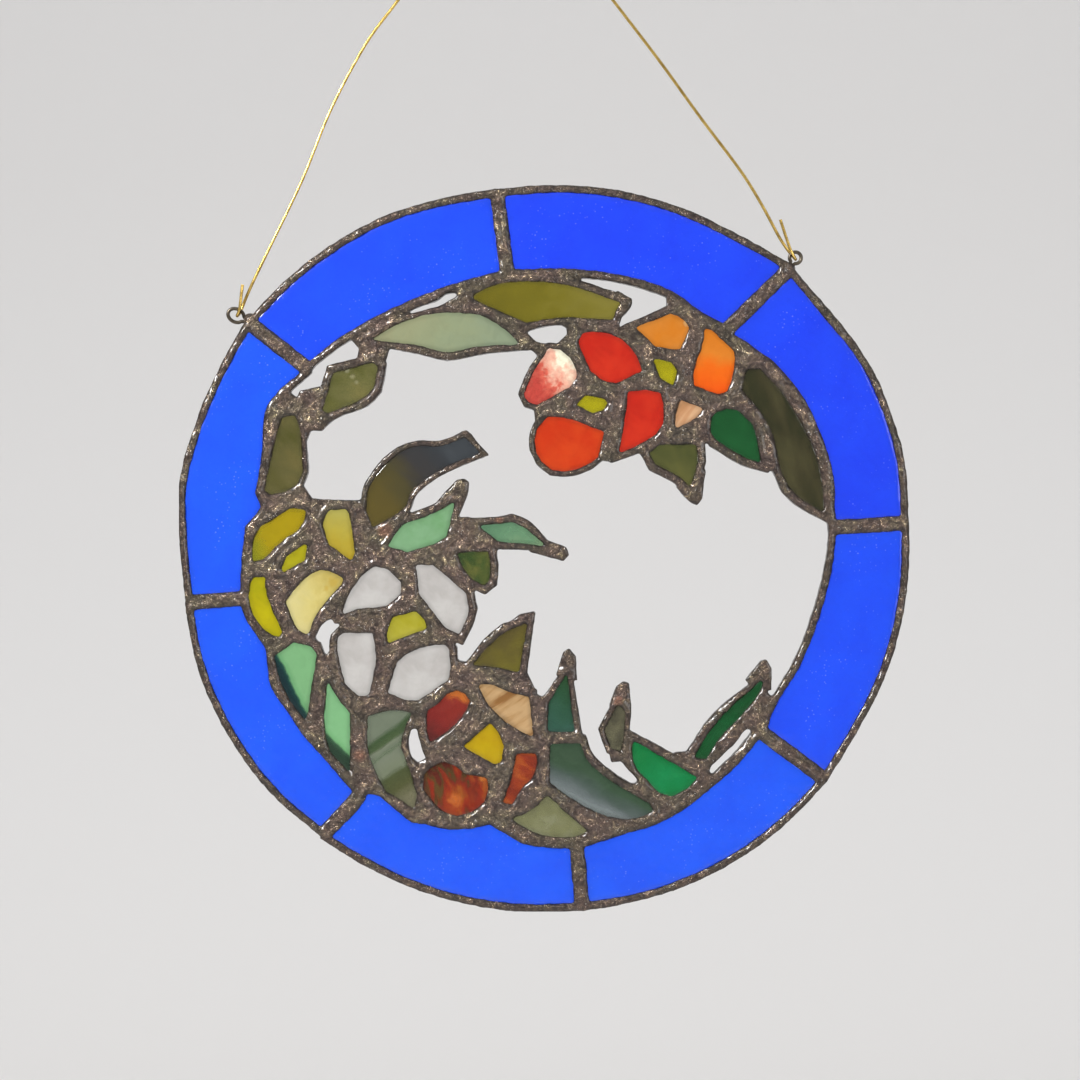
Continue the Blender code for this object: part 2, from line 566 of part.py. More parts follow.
def flat_plate(name, outline, thickness, collection):
    """Extrude an outline into a plate in the middle of the panel's depth."""
    curve = bpy.data.curves.new(name, "CURVE")
    curve.dimensions = "2D"
    curve.fill_mode = "BOTH"
    curve.extrude = thickness / 2
    spline = curve.splines.new("POLY")
    spline.points.add(len(outline) - 1)
    for knot, point in zip(spline.points, outline):
        knot.co = (point.x, point.y, 0.0, 1.0)
    spline.use_cyclic_u = True
    plate = bpy.data.objects.new(name, curve)
    plate.location = (HANG_OFFSET, 0.0, -HANG_DROP)
    plate.rotation_euler = (math.radians(90), 0.0, 0.0)
    collection.objects.link(plate)
    return plate


def as_mesh(curve_object, collection):
    """Swap a curve object for a closed mesh of the same shape, name and place."""
    bpy.context.view_layer.update()
    graph = bpy.context.evaluated_depsgraph_get()
    mesh = bpy.data.meshes.new_from_object(curve_object.evaluated_get(graph))
    closed = bmesh.new()
    closed.from_mesh(mesh)
    bmesh.ops.remove_doubles(closed, verts=closed.verts, dist=MEETING)
    closed.to_mesh(mesh)
    closed.free()
    name = curve_object.name
    matrix = curve_object.matrix_world.copy()
    bpy.data.objects.remove(curve_object, do_unlink=True)
    solid = bpy.data.objects.new(name, mesh)
    solid.matrix_world = matrix
    collection.objects.link(solid)
    return solid


def solder_plan(windows, solid_outlines, gap_outlines):
    """Flat triangles of the solder: all solid outlines together, less windows and gaps."""
    outlines = list(solid_outlines) + list(windows) + list(gap_outlines)
    points = []
    faces = []
    for outline in outlines:
        faces.append(list(range(len(points), len(points) + len(outline))))
        points.extend(counter_clockwise(outline))
    inside = 1
    plan = delaunay_2d_cdt(points, [], faces, inside, MEETING)
    plan_points, plan_faces, plan_sources = plan[0], plan[2], plan[5]
    solids = len(solid_outlines)
    kept = [face for face, sources in zip(plan_faces, plan_sources)
            if sources and max(sources) < solids]
    return plan_points, kept


def is_straight(corner):
    """Whether a corner of an outline lies on the line between its neighbours."""
    first, second = [edge.other_vert(corner).co - corner.co for edge in corner.link_edges]
    return first.angle(-second) < math.radians(STRAIGHT_ANGLE)


def outline_loops(body):
    """Closed runs of edges that have one face, each as its list of edges."""
    waiting = {edge for edge in body.edges if edge.is_boundary}
    loops = []
    while waiting:
        loop = []
        reached = [waiting.pop()]
        while reached:
            edge = reached.pop()
            loop.append(edge)
            near = {other for corner in edge.verts for other in corner.link_edges}
            reached.extend(near & waiting)
            waiting -= near
        loops.append(loop)
    return loops


def flood_small_holes(body):
    """Close the holes that solder would flood."""
    for loop in outline_loops(body):
        corners = [corner.co for edge in loop for corner in edge.verts]
        width = max(point.x for point in corners) - min(point.x for point in corners)
        height = max(point.z for point in corners) - min(point.z for point in corners)
        if max(width, height) < FLOODED_SIZE:
            bmesh.ops.triangle_fill(body, edges=loop, use_beauty=True)


def front_face(body, points, faces, window_corners):
    """Add the front face of the lattice to a mesh, with no more points than its outlines.

    window_corners are the keys of the points that it shares with the windows' frames.
    """
    corners = [body.verts.new(point) for point in place(points, -LATTICE_DEPTH / 2)]
    for face in faces:
        body.faces.new([corners[index] for index in face])
    flood_small_holes(body)
    inner = [edge for edge in body.edges if not edge.is_boundary]
    bmesh.ops.delete(body, geom=inner, context="EDGES_FACES")
    loose = [corner for corner in body.verts if not corner.link_edges]
    bmesh.ops.delete(body, geom=loose, context="VERTS")
    shared = [corner for corner in body.verts if round_point(corner.co) in window_corners]
    near = bmesh.ops.find_doubles(body, verts=body.verts, keep_verts=shared, dist=SLIVER)
    bmesh.ops.weld_verts(body, targetmap=near["targetmap"])
    straight = [corner for corner in body.verts
                if round_point(corner.co) not in window_corners and is_straight(corner)]
    bmesh.ops.dissolve_verts(body, verts=straight)
    bmesh.ops.triangle_fill(body, edges=body.edges, use_beauty=True, normal=(0.0, -1.0, 0.0))


def window_frame(body, outline):
    """Add a window's sides and the groove between them, from the front to the back."""
    groove = outset(outline, FOIL_LAP + FIT_GAP)
    sections = (
        (outline, -LATTICE_DEPTH / 2),
        (outline, -GROOVE_DEPTH / 2),
        (groove, -GROOVE_DEPTH / 2),
        (groove, GROOVE_DEPTH / 2),
        (outline, GROOVE_DEPTH / 2),
        (outline, LATTICE_DEPTH / 2),
    )
    rings = [[body.verts.new(point) for point in place(section, y)] for section, y in sections]
    for near, far in zip(rings, rings[1:]):
        for index in range(len(outline)):
            body.faces.new((near[index - 1], near[index], far[index], far[index - 1]))


def sweep_back(body, geometry):
    """Move new geometry from the front of the lattice to its back."""
    corners = [item for item in geometry if isinstance(item, bmesh.types.BMVert)]
    bmesh.ops.translate(body, verts=corners, vec=(0.0, LATTICE_DEPTH, 0.0))


def make_lattice(windows, model, cutters):
    """Foil and solder: one body with a window and a groove for each piece of glass."""
    solids = [outset(outline, FOIL_LAP + rim_width(name)) for name, outline in windows.items()]
    solids += seam_bars() + eyelet_pads()
    solids += [sheet_outline(outline) for outline in PUDDLES.values()]
    gaps = [sheet_outline(outline) for outline in GAPS.values()]
    points, faces = solder_plan(windows.values(), solids, gaps)
    window_corners = {round_point(point) for outline in windows.values()
                      for point in place(outline, -LATTICE_DEPTH / 2)}

    body = bmesh.new()
    front_face(body, points, faces, window_corners)
    outer = [edge for edge in body.edges
             if edge.is_boundary and round_point(edge.verts[0].co) not in window_corners]
    sweep_back(body, bmesh.ops.duplicate(body, geom=body.faces)["geom"])
    sweep_back(body, bmesh.ops.extrude_edge_only(body, edges=outer)["geom"])
    for outline in windows.values():
        window_frame(body, counter_clockwise(outline))
    bmesh.ops.remove_doubles(body, verts=body.verts, dist=TOUCHING)
    bmesh.ops.recalc_face_normals(body, faces=body.faces)
    mesh = bpy.data.meshes.new("solder_lattice")
    body.to_mesh(mesh)
    body.free()
    lattice = bpy.data.objects.new("solder_lattice", mesh)
    model.objects.link(lattice)

    for name in EYELETS:
        hide_cutter(socket_cutter(name, cutters))
    cut = lattice.modifiers.new("sockets", "BOOLEAN")
    cut.operation = "DIFFERENCE"
    cut.solver = "EXACT"
    cut.operand_type = "COLLECTION"
    cut.collection = cutters
    return lattice


def round_point(point):
    """Key for a point, the same for two points in one place."""
    return tuple(round(value / TOUCHING) for value in point)


def counter_clockwise(outline):
    """The outline, running counter-clockwise."""
    return outline if signed_area(outline) > 0 else outline[::-1]


def hide_cutter(cutter):
    """Show a cutter as wire and keep it out of renders."""
    cutter.hide_render = True
    cutter.display_type = "WIRE"


def socket_cutter(name, cutters):
    """Round hole in a solder pad for an eyelet's leg."""
    foot, along, _ = eyelet_frame(name)
    length = EYELET_LEG + FIT_GAP + PAD_RADIUS
    middle = foot + along * (length / 2 - EYELET_LEG - FIT_GAP)
    body = bmesh.new()
    radius = EYELET_WIRE / 2 + FIT_GAP
    bmesh.ops.create_cone(body, cap_ends=True, segments=8, radius1=radius, radius2=radius,
                          depth=length)
    mesh = bpy.data.meshes.new("socket_" + name)
    body.to_mesh(mesh)
    body.free()
    socket = bpy.data.objects.new("socket_" + name, mesh)
    socket.location = place([middle], 0.0)[0]
    lengthwise = Vector((along.x, 0.0, along.y))
    socket.rotation_euler = lengthwise.to_track_quat("Z", "Y").to_euler()
    cutters.objects.link(socket)
    return socket


def smooth_route(points, steps):
    """Points of a smooth curve through a route, steps to each of its spans."""
    path = [points[0] * 2 - points[1], *points, points[-1] * 2 - points[-2]]
    curve = []
    for a, b, c, d in zip(path, path[1:], path[2:], path[3:]):
        for step in range(steps):
            t = step / steps
            curve.append(((b * 2) + (c - a) * t + (a * 2 - b * 5 + c * 4 - d) * t ** 2
                          + (b * 3 - a - c * 3 + d) * t ** 3) / 2)
    curve.append(points[-1])
    return curve


def wire(name, route, thickness, collection):
    """Round wire along a route, with closed ends."""
    curve = bpy.data.curves.new(name, "CURVE")
    curve.dimensions = "3D"
    curve.bevel_depth = thickness / 2
    curve.bevel_resolution = 2
    curve.use_fill_caps = True
    spline = curve.splines.new("POLY")
    spline.points.add(len(route) - 1)
    for knot, point in zip(spline.points, route):
        knot.co = (*point, 1.0)
    bent = bpy.data.objects.new(name, curve)
    collection.objects.link(bent)
    return bent


def make_eyelet(name, collection):
    """Wire bent into a loop beyond the rim, with its leg in the solder."""
    foot, along, across = eyelet_frame(name)
    half_length, half_width = EYELETS[name][2:]
    neck = PAD_PROUD + FIT_GAP
    middle = neck + EYELET_WIRE / 2 + half_length
    flat = [foot - along * EYELET_LEG, foot + along * neck]
    sweep = 360.0 - EYELET_OPENING
    for step in range(EYELET_STEPS + 1):
        turn = math.radians(EYELET_START + sweep * step / EYELET_STEPS)
        reach = middle + half_length * math.cos(turn)
        flat.append(foot + along * reach + across * half_width * math.sin(turn))
    return wire(name, place(flat, 0.0), EYELET_WIRE, collection)


def build_panel():
    """Build the whole panel."""
    clear_scene()
    model = new_collection("stained_glass_panel")
    cutters = new_collection("cutters")
    finishes = {name: make_finish(name) for name in FINISHES}

    windows = ring_windows()
    for group in (LEAVES, PETALS, CENTRES):
        windows.update({name: sheet_outline(outline) for name, outline in group.items()})

    lattice = make_lattice(windows, model, cutters)
    lattice.data.materials.append(finishes["solder"])

    for name, outline in windows.items():
        pane = flat_plate(name, outset(outline, FOIL_LAP), GLASS_THICKNESS, model)
        pane = as_mesh(pane, model)
        pane.data.materials.clear()
        pane.data.materials.append(finishes[GLASS_COLOURS.get(name, "glass_blue")])

    for name in EYELETS:
        make_eyelet(name, model).data.materials.append(finishes["tinned_wire"])

    route = [Vector(point) * MM for point in HANGER_ROUTE_MM]
    hanger = wire("hanging_wire", smooth_route(route, HANGER_STEPS), HANGER_WIRE, model)
    hanger.data.materials.append(finishes["brass_wire"])


build_panel()
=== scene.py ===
"""Dresses the stained glass panel for its picture.

A ring of blue glass and a wreath of flowers and leaves are joined by a lattice of patinated
solder, and a brass wire through two eyelets holds them up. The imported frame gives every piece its
place. This script lays the solder's rounded, lumpy bead on the lattice's outline, gives each
piece of glass its own sheet, draws the wires round, and hangs the panel in soft light above a
pale floor.
"""
from __future__ import annotations

import logging
import math
from dataclasses import dataclass, replace
from enum import Enum

import bmesh
import bpy
from mathutils import Matrix, Vector, noise
from mathutils.kdtree import KDTree


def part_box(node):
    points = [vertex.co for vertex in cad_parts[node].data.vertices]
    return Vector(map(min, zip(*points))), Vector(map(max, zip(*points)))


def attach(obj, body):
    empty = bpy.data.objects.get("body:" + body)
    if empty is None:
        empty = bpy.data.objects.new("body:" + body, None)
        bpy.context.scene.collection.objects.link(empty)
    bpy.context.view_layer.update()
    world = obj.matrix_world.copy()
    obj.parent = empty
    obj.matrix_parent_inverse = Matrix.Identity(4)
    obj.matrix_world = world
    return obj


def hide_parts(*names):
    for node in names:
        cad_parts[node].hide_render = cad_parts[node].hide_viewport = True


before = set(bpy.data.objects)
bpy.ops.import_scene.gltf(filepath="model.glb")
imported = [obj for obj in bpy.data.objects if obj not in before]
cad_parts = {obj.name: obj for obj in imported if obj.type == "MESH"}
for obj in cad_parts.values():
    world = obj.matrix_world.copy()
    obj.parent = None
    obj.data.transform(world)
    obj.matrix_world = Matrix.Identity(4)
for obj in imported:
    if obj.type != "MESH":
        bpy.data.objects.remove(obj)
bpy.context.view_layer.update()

MM = 0.001
ROOT = "root"
RING_PREFIX = "ring_glass_"
PANE_PREFIXES = (RING_PREFIX, "leaf_", "petal_", "centre_")
LOG = logging.getLogger("stained_glass_panel")

# The photograph is taken straight from the front. Its middle lies here on the panel, and this
# much of the panel's plane fills its width.
VIEW_MIDDLE = Vector((10.2 * MM, 0.0, -185.5 * MM))
VIEW_WIDTH = 297.5 * MM


def linear(code: str) -> tuple[float, float, float, float]:
    """Turn an sRGB hex colour into the linear values that shaders use.

    Args:
        code: colour as "#rrggbb".

    Returns:
        Red, green and blue from 0 to 1, and an alpha of 1.
    """
    shares = [int(code[start:start + 2], 16) / 255 for start in (1, 3, 5)]
    values = [share / 12.92 if share <= 0.04045 else ((share + 0.055) / 1.055) ** 2.4
              for share in shares]
    return (*values, 1.0)


def add_node(tree: bpy.types.NodeTree, kind: str, settings: dict | None = None,
             links: dict | None = None) -> bpy.types.Node:
    """Add a node to a material with its settings and links.

    Args:
        tree: node tree that receives the node.
        kind: the node's type.
        settings: values by the name of an attribute, or else by the name or number of an input.
        links: output sockets by the name or number of the input that they feed.

    Returns:
        The new node.
    """
    node = tree.nodes.new(kind)
    for key, value in (settings or {}).items():
        if isinstance(key, str) and hasattr(node, key):
            setattr(node, key, value)
        else:
            node.inputs[key].default_value = value
    for key, socket in (links or {}).items():
        tree.links.new(socket, node.inputs[key])
    return node


def new_material(name: str, settings: dict) -> tuple[bpy.types.Material, bpy.types.Node]:
    """Start a material from the Principled shader.

    Args:
        name: the material's name.
        settings: values of the shader's inputs by name.

    Returns:
        The material and its shader.
    """
    material = bpy.data.materials.new(name)
    material.use_nodes = True
    shader = material.node_tree.nodes["Principled BSDF"]
    for key, value in settings.items():
        shader.inputs[key].default_value = value
    return material, shader


def colour_ramp(tree: bpy.types.NodeTree, share: bpy.types.NodeSocket,
                stops: tuple[tuple[float, str], ...]) -> bpy.types.NodeSocket:
    """Turn a share from 0 to 1 into a colour.

    Args:
        tree: the material's node tree.
        share: output socket that gives the share.
        stops: places on the ramp with their sRGB hex colours.

    Returns:
        The socket that gives the colour.
    """
    ramp = add_node(tree, "ShaderNodeValToRGB", links={"Fac": share})
    elements = ramp.color_ramp.elements
    while len(elements) < len(stops):
        elements.new(1.0)
    for element, (place, code) in zip(elements, stops):
        element.position = place
        element.color = linear(code)
    return ramp.outputs["Color"]


def mesh_piece(name: str, body: bmesh.types.BMesh) -> bpy.types.Object:
    """Make a smooth-shaded object from a bmesh, at the origin.

    Args:
        name: the piece's name.
        body: its mesh, in metres, which is freed.

    Returns:
        The new object, linked to the scene.
    """
    mesh = bpy.data.meshes.new(name)
    body.to_mesh(mesh)
    body.free()
    mesh.shade_smooth()
    piece = bpy.data.objects.new(name, mesh)
    bpy.context.scene.collection.objects.link(piece)
    return piece


def applied(piece: bpy.types.Object) -> bpy.types.Mesh:
    """Return the mesh that an object's modifiers make, and remove the object."""
    graph = bpy.context.evaluated_depsgraph_get()
    mesh = bpy.data.meshes.new_from_object(piece.evaluated_get(graph))
    bpy.data.objects.remove(piece, do_unlink=True)
    return mesh


def merged_copy(name: str) -> bmesh.types.BMesh:
    """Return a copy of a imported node's mesh with its loose triangles joined."""
    body = bmesh.new()
    body.from_mesh(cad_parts[name].data)
    bmesh.ops.remove_doubles(body, verts=body.verts, dist=0.005 * MM)
    return body


def front_loops(name: str) -> list[list[Vector]]:
    """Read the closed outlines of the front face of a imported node.

    Args:
        name: the node's name.

    Returns:
        The corners of each outline, in order.
    """
    body = merged_copy(name)
    front = min(corner.co.y for corner in body.verts)
    hidden = [face for face in body.faces
              if max(corner.co.y for corner in face.verts) > front + 0.01 * MM]
    bmesh.ops.delete(body, geom=hidden, context="FACES")
    waiting = {edge for edge in body.edges if edge.is_boundary}
    loops = []
    while waiting:
        start, corner = waiting.pop().verts
        loop = [start.co.copy()]
        while corner is not start:
            loop.append(corner.co.copy())
            edge = next(edge for edge in corner.link_edges if edge in waiting)
            waiting.discard(edge)
            corner = edge.other_vert(corner)
        loops.append(loop)
    body.free()
    return loops


def outline_tree(loops: list[list[Vector]], spacing: float = 0.3 * MM) -> KDTree:
    """Return points all along some outlines, to measure how far off the nearest one is.

    Args:
        loops: corners of each outline.
        spacing: distance between the points, in metres.

    Returns:
        A balanced tree of points in the plane y = 0.
    """
    points = []
    for loop in loops:
        for start, end in zip(loop, loop[1:] + loop[:1]):
            steps = max(1, round((end - start).length / spacing))
            points += [start.lerp(end, step / steps) for step in range(steps)]
    tree = KDTree(len(points))
    for index, point in enumerate(points):
        tree.insert((point.x, 0.0, point.z), index)
    tree.balance()
    return tree


def distance_mm(tree: KDTree, point: Vector) -> float:
    """Return how far a point lies from the nearest outline in the panel's plane, in mm."""
    return tree.find((point.x, 0.0, point.z))[2] / MM


def voxel_skin(piece: bpy.types.Object, spacing: float) -> bpy.types.Mesh:
    """Give an object one even skin, and remove the object.

    Args:
        piece: closed mesh object.
        spacing: distance between the skin's points, in metres.

    Returns:
        The skin's mesh.
    """
    skin = piece.modifiers.new("skin", "REMESH")
    skin.mode = "VOXEL"
    skin.voxel_size = spacing
    return applied(piece)


def smooth_route(points: list[Vector], steps: int) -> list[Vector]:
    """Draw a smooth curve through the points of a route.

    Args:
        points: the route's own points.
        steps: points of the curve for each span of the route.

    Returns:
        Points of the curve, with both ends of the route.
    """
    path = [points[0] * 2 - points[1], *points, points[-1] * 2 - points[-2]]
    curve = []
    for a, b, c, d in zip(path, path[1:], path[2:], path[3:]):
        for step in range(steps):
            t = step / steps
            curve.append(((b * 2) + (c - a) * t + (a * 2 - b * 5 + c * 4 - d) * t ** 2
                          + (b * 3 - a - c * 3 + d) * t ** 3) / 2)
    curve.append(points[-1])
    return curve


def round_wire(name: str, route: list[Vector], thickness: float) -> bpy.types.Object:
    """Bend a round wire along a route.

    Args:
        name: the wire's name.
        route: points of its middle line, in metres.
        thickness: its diameter, in metres.

    Returns:
        A curve object with closed ends.
    """
    curve = bpy.data.curves.new(name, "CURVE")
    curve.dimensions = "3D"
    curve.bevel_depth = thickness / 2
    curve.bevel_resolution = 4
    curve.use_fill_caps = True
    spline = curve.splines.new("POLY")
    spline.points.add(len(route) - 1)
    for knot, point in zip(spline.points, route):
        knot.co = (*point, 1.0)
    wire = bpy.data.objects.new(name, curve)
    bpy.context.scene.collection.objects.link(wire)
    return wire


class Face(Enum):
    """How the face of a sheet of glass was rolled.

    The values are its grain and its depth in mm, and the share of the colour that is kept in the
    ripples' dents, as painted shade for the light that the ripples bend away.
    """

    SMOOTH = (6.0, 0.10, 0.94)
    SEEDY = (2.4, 0.08, 0.96)
    RIPPLED = (1.9, 0.26, 0.84)


@dataclass(frozen=True)
class SheetGlass:
    """Rolled art glass: coloured through, milky where it is opalescent, glossy on its skin.

    The colours run along a direction, drift in clouds, or both. Light that comes through the
    sheet gives most of the colour, so the wall behind it makes it glow. Its colour is darkened
    beside the solder and in the dents of its ripples as painted shade, and its bubbles are painted
    as pale glints.
    """

    stops: tuple[tuple[float, str], ...]
    direction: float = 0.0         # degrees from +X that the colours run along
    run: float = 20.0              # mm from the first colour to the last
    offset: float = 0.0            # mm from the piece's middle to the middle of the run
    gradient: float = 0.0          # weight of the run
    cloud: float = 1.0             # weight of the clouds
    cloud_size: float = 9.0        # mm
    stretch: float = 1.0           # how many times longer the clouds are across the run
    milk: float = 0.35             # share of the light that the glass scatters
    edge: float = 0.80             # share of the colour kept beside the solder, as painted shade
    edge_width: float = 1.3        # mm of painted shade beside the solder
    bubble_glints: float = 0.0             # strength of the painted glints of the tiny bubbles in the glass
    # x, z and radius in mm of small patches, and their colour
    patches: tuple[tuple[float, float, float, str], ...] = ()
    face: Face = Face.SMOOTH

    def material(self, name: str) -> bpy.types.Material:
        """Make this sheet for one piece of glass.

        Args:
            name: the pane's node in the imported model.

        Returns:
            The material.
        """
        low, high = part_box(name)
        middle = (Vector(low) + Vector(high)) / 2
        material, shader = new_material("rolled_art_glass_" + name, {
            "Roughness": 0.18,
            "IOR": 1.52,
            "Transmission Weight": 1.0 - self.milk,
            "Specular IOR Level": 0.12,
        })
        tree = material.node_tree
        place = add_node(tree, "ShaderNodeTexCoord").outputs["Object"]
        # The first Mapping moves the piece's middle to the origin, the second turns the run
        # to X and counts in mm.
        centred = add_node(tree, "ShaderNodeMapping", {"Location": -middle},
                           {"Vector": place}).outputs[0]
        turned = add_node(tree, "ShaderNodeMapping", {
            "Rotation": (0.0, math.radians(self.direction), 0.0), "Scale": (1 / MM,) * 3},
            {"Vector": centred}).outputs[0]
        colour = colour_ramp(tree, self.colour_share(tree, turned), self.stops)
        colour = self.patched(tree, place, colour)
        # Painted glints: the bubbles are pale blue specks in the colour
        if self.bubble_glints:
            colour = self.bubbles(tree, turned, colour)
        # Painted shade: the colour is darkened beside the solder, where foil covers the back too
        # and less light reaches the glass
        inside = add_node(tree, "ShaderNodeAttribute",
                          {"attribute_name": "from_solder_mm"}).outputs["Fac"]
        shade = add_node(tree, "ShaderNodeMapRange", {
            "interpolation_type": "SMOOTHSTEP", "From Max": self.edge_width,
            "To Min": self.edge}, {"Value": inside}).outputs[0]
        grain, depth, left = self.face.value
        ripples = add_node(tree, "ShaderNodeTexNoise", {
            "Scale": 2 / grain, "Detail": 3.0, "Distortion": 0.8},
            {"Vector": turned}).outputs["Fac"]
        # Painted shade: the colour is darker in the ripples' dents, for the light that the ripples
        # bend
        thin = add_node(tree, "ShaderNodeMapRange", {
            "From Min": 0.34, "From Max": 0.56, "To Min": left}, {"Value": ripples}).outputs[0]
        for share in (shade, thin):
            colour = add_node(tree, "ShaderNodeMix", {
                "data_type": "RGBA", "blend_type": "MULTIPLY", "Factor": 1.0},
                {6: colour, 7: share}).outputs[2]
        tree.links.new(colour, shader.inputs["Base Color"])
        # The finest of the rolled texture, which the mesh leaves out
        relief = add_node(tree, "ShaderNodeBump", {
            "Strength": 1.0, "Distance": depth / 3 * MM}, {"Height": ripples}).outputs["Normal"]
        tree.links.new(relief, shader.inputs["Normal"])
        return material

    def patched(self, tree: bpy.types.NodeTree, place: bpy.types.NodeSocket,
                colour: bpy.types.NodeSocket) -> bpy.types.NodeSocket:
        """Lay small ragged patches of another colour into the sheet.

        Args:
            tree: the material's node tree.
            place: place on the panel in metres.
            colour: the glass's colour.

        Returns:
            The socket that gives the colour with its patches.
        """
        if not self.patches:
            return colour
        ragged = add_node(tree, "ShaderNodeTexNoise", {
            "Scale": 1 / (1.6 * MM), "Detail": 3.0}, {"Vector": place}).outputs["Fac"]
        for x, z, radius, code in self.patches:
            centred = add_node(tree, "ShaderNodeMapping", {
                "Location": (-x, 0.0, -z), "Scale": (1 / MM, 0.0, 1 / MM)},
                {"Vector": place}).outputs[0]
            away = add_node(tree, "ShaderNodeVectorMath", {"operation": "LENGTH"},
                            {0: centred}).outputs["Value"]
            uneven = add_node(tree, "ShaderNodeMath", {
                "operation": "MULTIPLY_ADD", 1: 2 * radius}, {0: ragged, 2: away}).outputs[0]
            share = add_node(tree, "ShaderNodeMapRange", {
                "From Min": 2.0 * radius, "From Max": 1.4 * radius, "To Max": 0.85},
                {"Value": uneven}).outputs[0]
            colour = add_node(tree, "ShaderNodeMix", {"data_type": "RGBA", 7: linear(code)},
                              {"Factor": share, 6: colour}).outputs[2]
        return colour

    def bubbles(self, tree: bpy.types.NodeTree, turned: bpy.types.NodeSocket,
                colour: bpy.types.NodeSocket) -> bpy.types.NodeSocket:
        """Scatter tiny bubbles through the sheet, in some places more than in others, painted
        as pale glints.

        Args:
            tree: the material's node tree.
            turned: place on the piece in mm.
            colour: the glass's colour.

        Returns:
            The socket that gives the colour with the painted glints of its bubbles.
        """
        # Painted glints of bubbles of about 0.3 mm, one in each 1.3 mm
        grain = add_node(tree, "ShaderNodeTexVoronoi", {"Scale": 1 / 1.3},
                         {"Vector": turned}).outputs["Distance"]
        glint = add_node(tree, "ShaderNodeMapRange", {
            "From Min": 0.20, "From Max": 0.08, "To Max": self.bubble_glints},
            {"Value": grain}).outputs[0]
        patches = add_node(tree, "ShaderNodeTexNoise", {"Scale": 1 / 11.0},
                           {"Vector": turned}).outputs["Fac"]
        place = add_node(tree, "ShaderNodeMapRange", {"From Min": 0.48, "From Max": 0.62},
                         {"Value": patches}).outputs[0]
        share = add_node(tree, "ShaderNodeMath", {"operation": "MULTIPLY"},
                         {0: glint, 1: place}).outputs[0]
        return add_node(tree, "ShaderNodeMix", {"data_type": "RGBA", 7: linear("#b8ccff")},
                        {"Factor": share, 6: colour}).outputs[2]

    def colour_share(self, tree: bpy.types.NodeTree,
                     turned: bpy.types.NodeSocket) -> bpy.types.NodeSocket:
        """Mix the run and the clouds into one share from 0 to 1.

        Args:
            tree: the material's node tree.
            turned: place on the piece in mm, with the run along X.

        Returns:
            The socket that gives the share.
        """
        along = add_node(tree, "ShaderNodeSeparateXYZ", links={0: turned}).outputs["X"]
        run = add_node(tree, "ShaderNodeMath", {
            "operation": "MULTIPLY_ADD", 1: self.gradient / self.run,
            2: 0.5 - self.gradient * self.offset / self.run}, {0: along}).outputs[0]
        squeezed = add_node(tree, "ShaderNodeMapping", {
            "Scale": (1.0, 1.0, 1 / self.stretch)}, {"Vector": turned}).outputs[0]
        clouds = add_node(tree, "ShaderNodeTexNoise", {
            "Scale": 1 / self.cloud_size, "Detail": 4.0, "Roughness": 0.55, "Distortion": 0.4},
            {"Vector": squeezed}).outputs["Fac"]
        drift = add_node(tree, "ShaderNodeMath", {
            "operation": "MULTIPLY_ADD", 1: self.cloud * 2, 2: -self.cloud},
            {0: clouds}).outputs[0]
        return add_node(tree, "ShaderNodeMath", {"operation": "ADD", "use_clamp": True},
                        {0: run, 1: drift}).outputs[0]


COBALT = SheetGlass(((0.2, "#1f50f6"), (0.8, "#2158fd")), cloud_size=14.0, milk=0.37,
                    edge=0.9, bubble_glints=0.32, face=Face.SEEDY)
DEEP_COBALT = replace(COBALT, stops=((0.2, "#1f46f4"), (0.8, "#214efb")))
PALE_COBALT = replace(COBALT, stops=((0.2, "#1f5af6"), (0.8, "#2162fd")))

RING_GLASS = {
    "ring_glass_right_upper": DEEP_COBALT,
    "ring_glass_top_right": DEEP_COBALT,
    "ring_glass_top_left": COBALT,
    "ring_glass_right_lower": COBALT,
    "ring_glass_left_upper": PALE_COBALT,
    "ring_glass_left_lower": PALE_COBALT,
    "ring_glass_bottom_left": PALE_COBALT,
    "ring_glass_bottom_right": PALE_COBALT,
}

RED = SheetGlass(((0.3, "#c52410"), (0.7, "#d23218")), milk=0.45)
WHITE = SheetGlass(((0.3, "#b0aca8"), (0.7, "#bdbab6")), cloud_size=12.0, milk=0.6)
LIME = SheetGlass(((0.3, "#a99f02"), (0.7, "#b7af08")), milk=0.35)

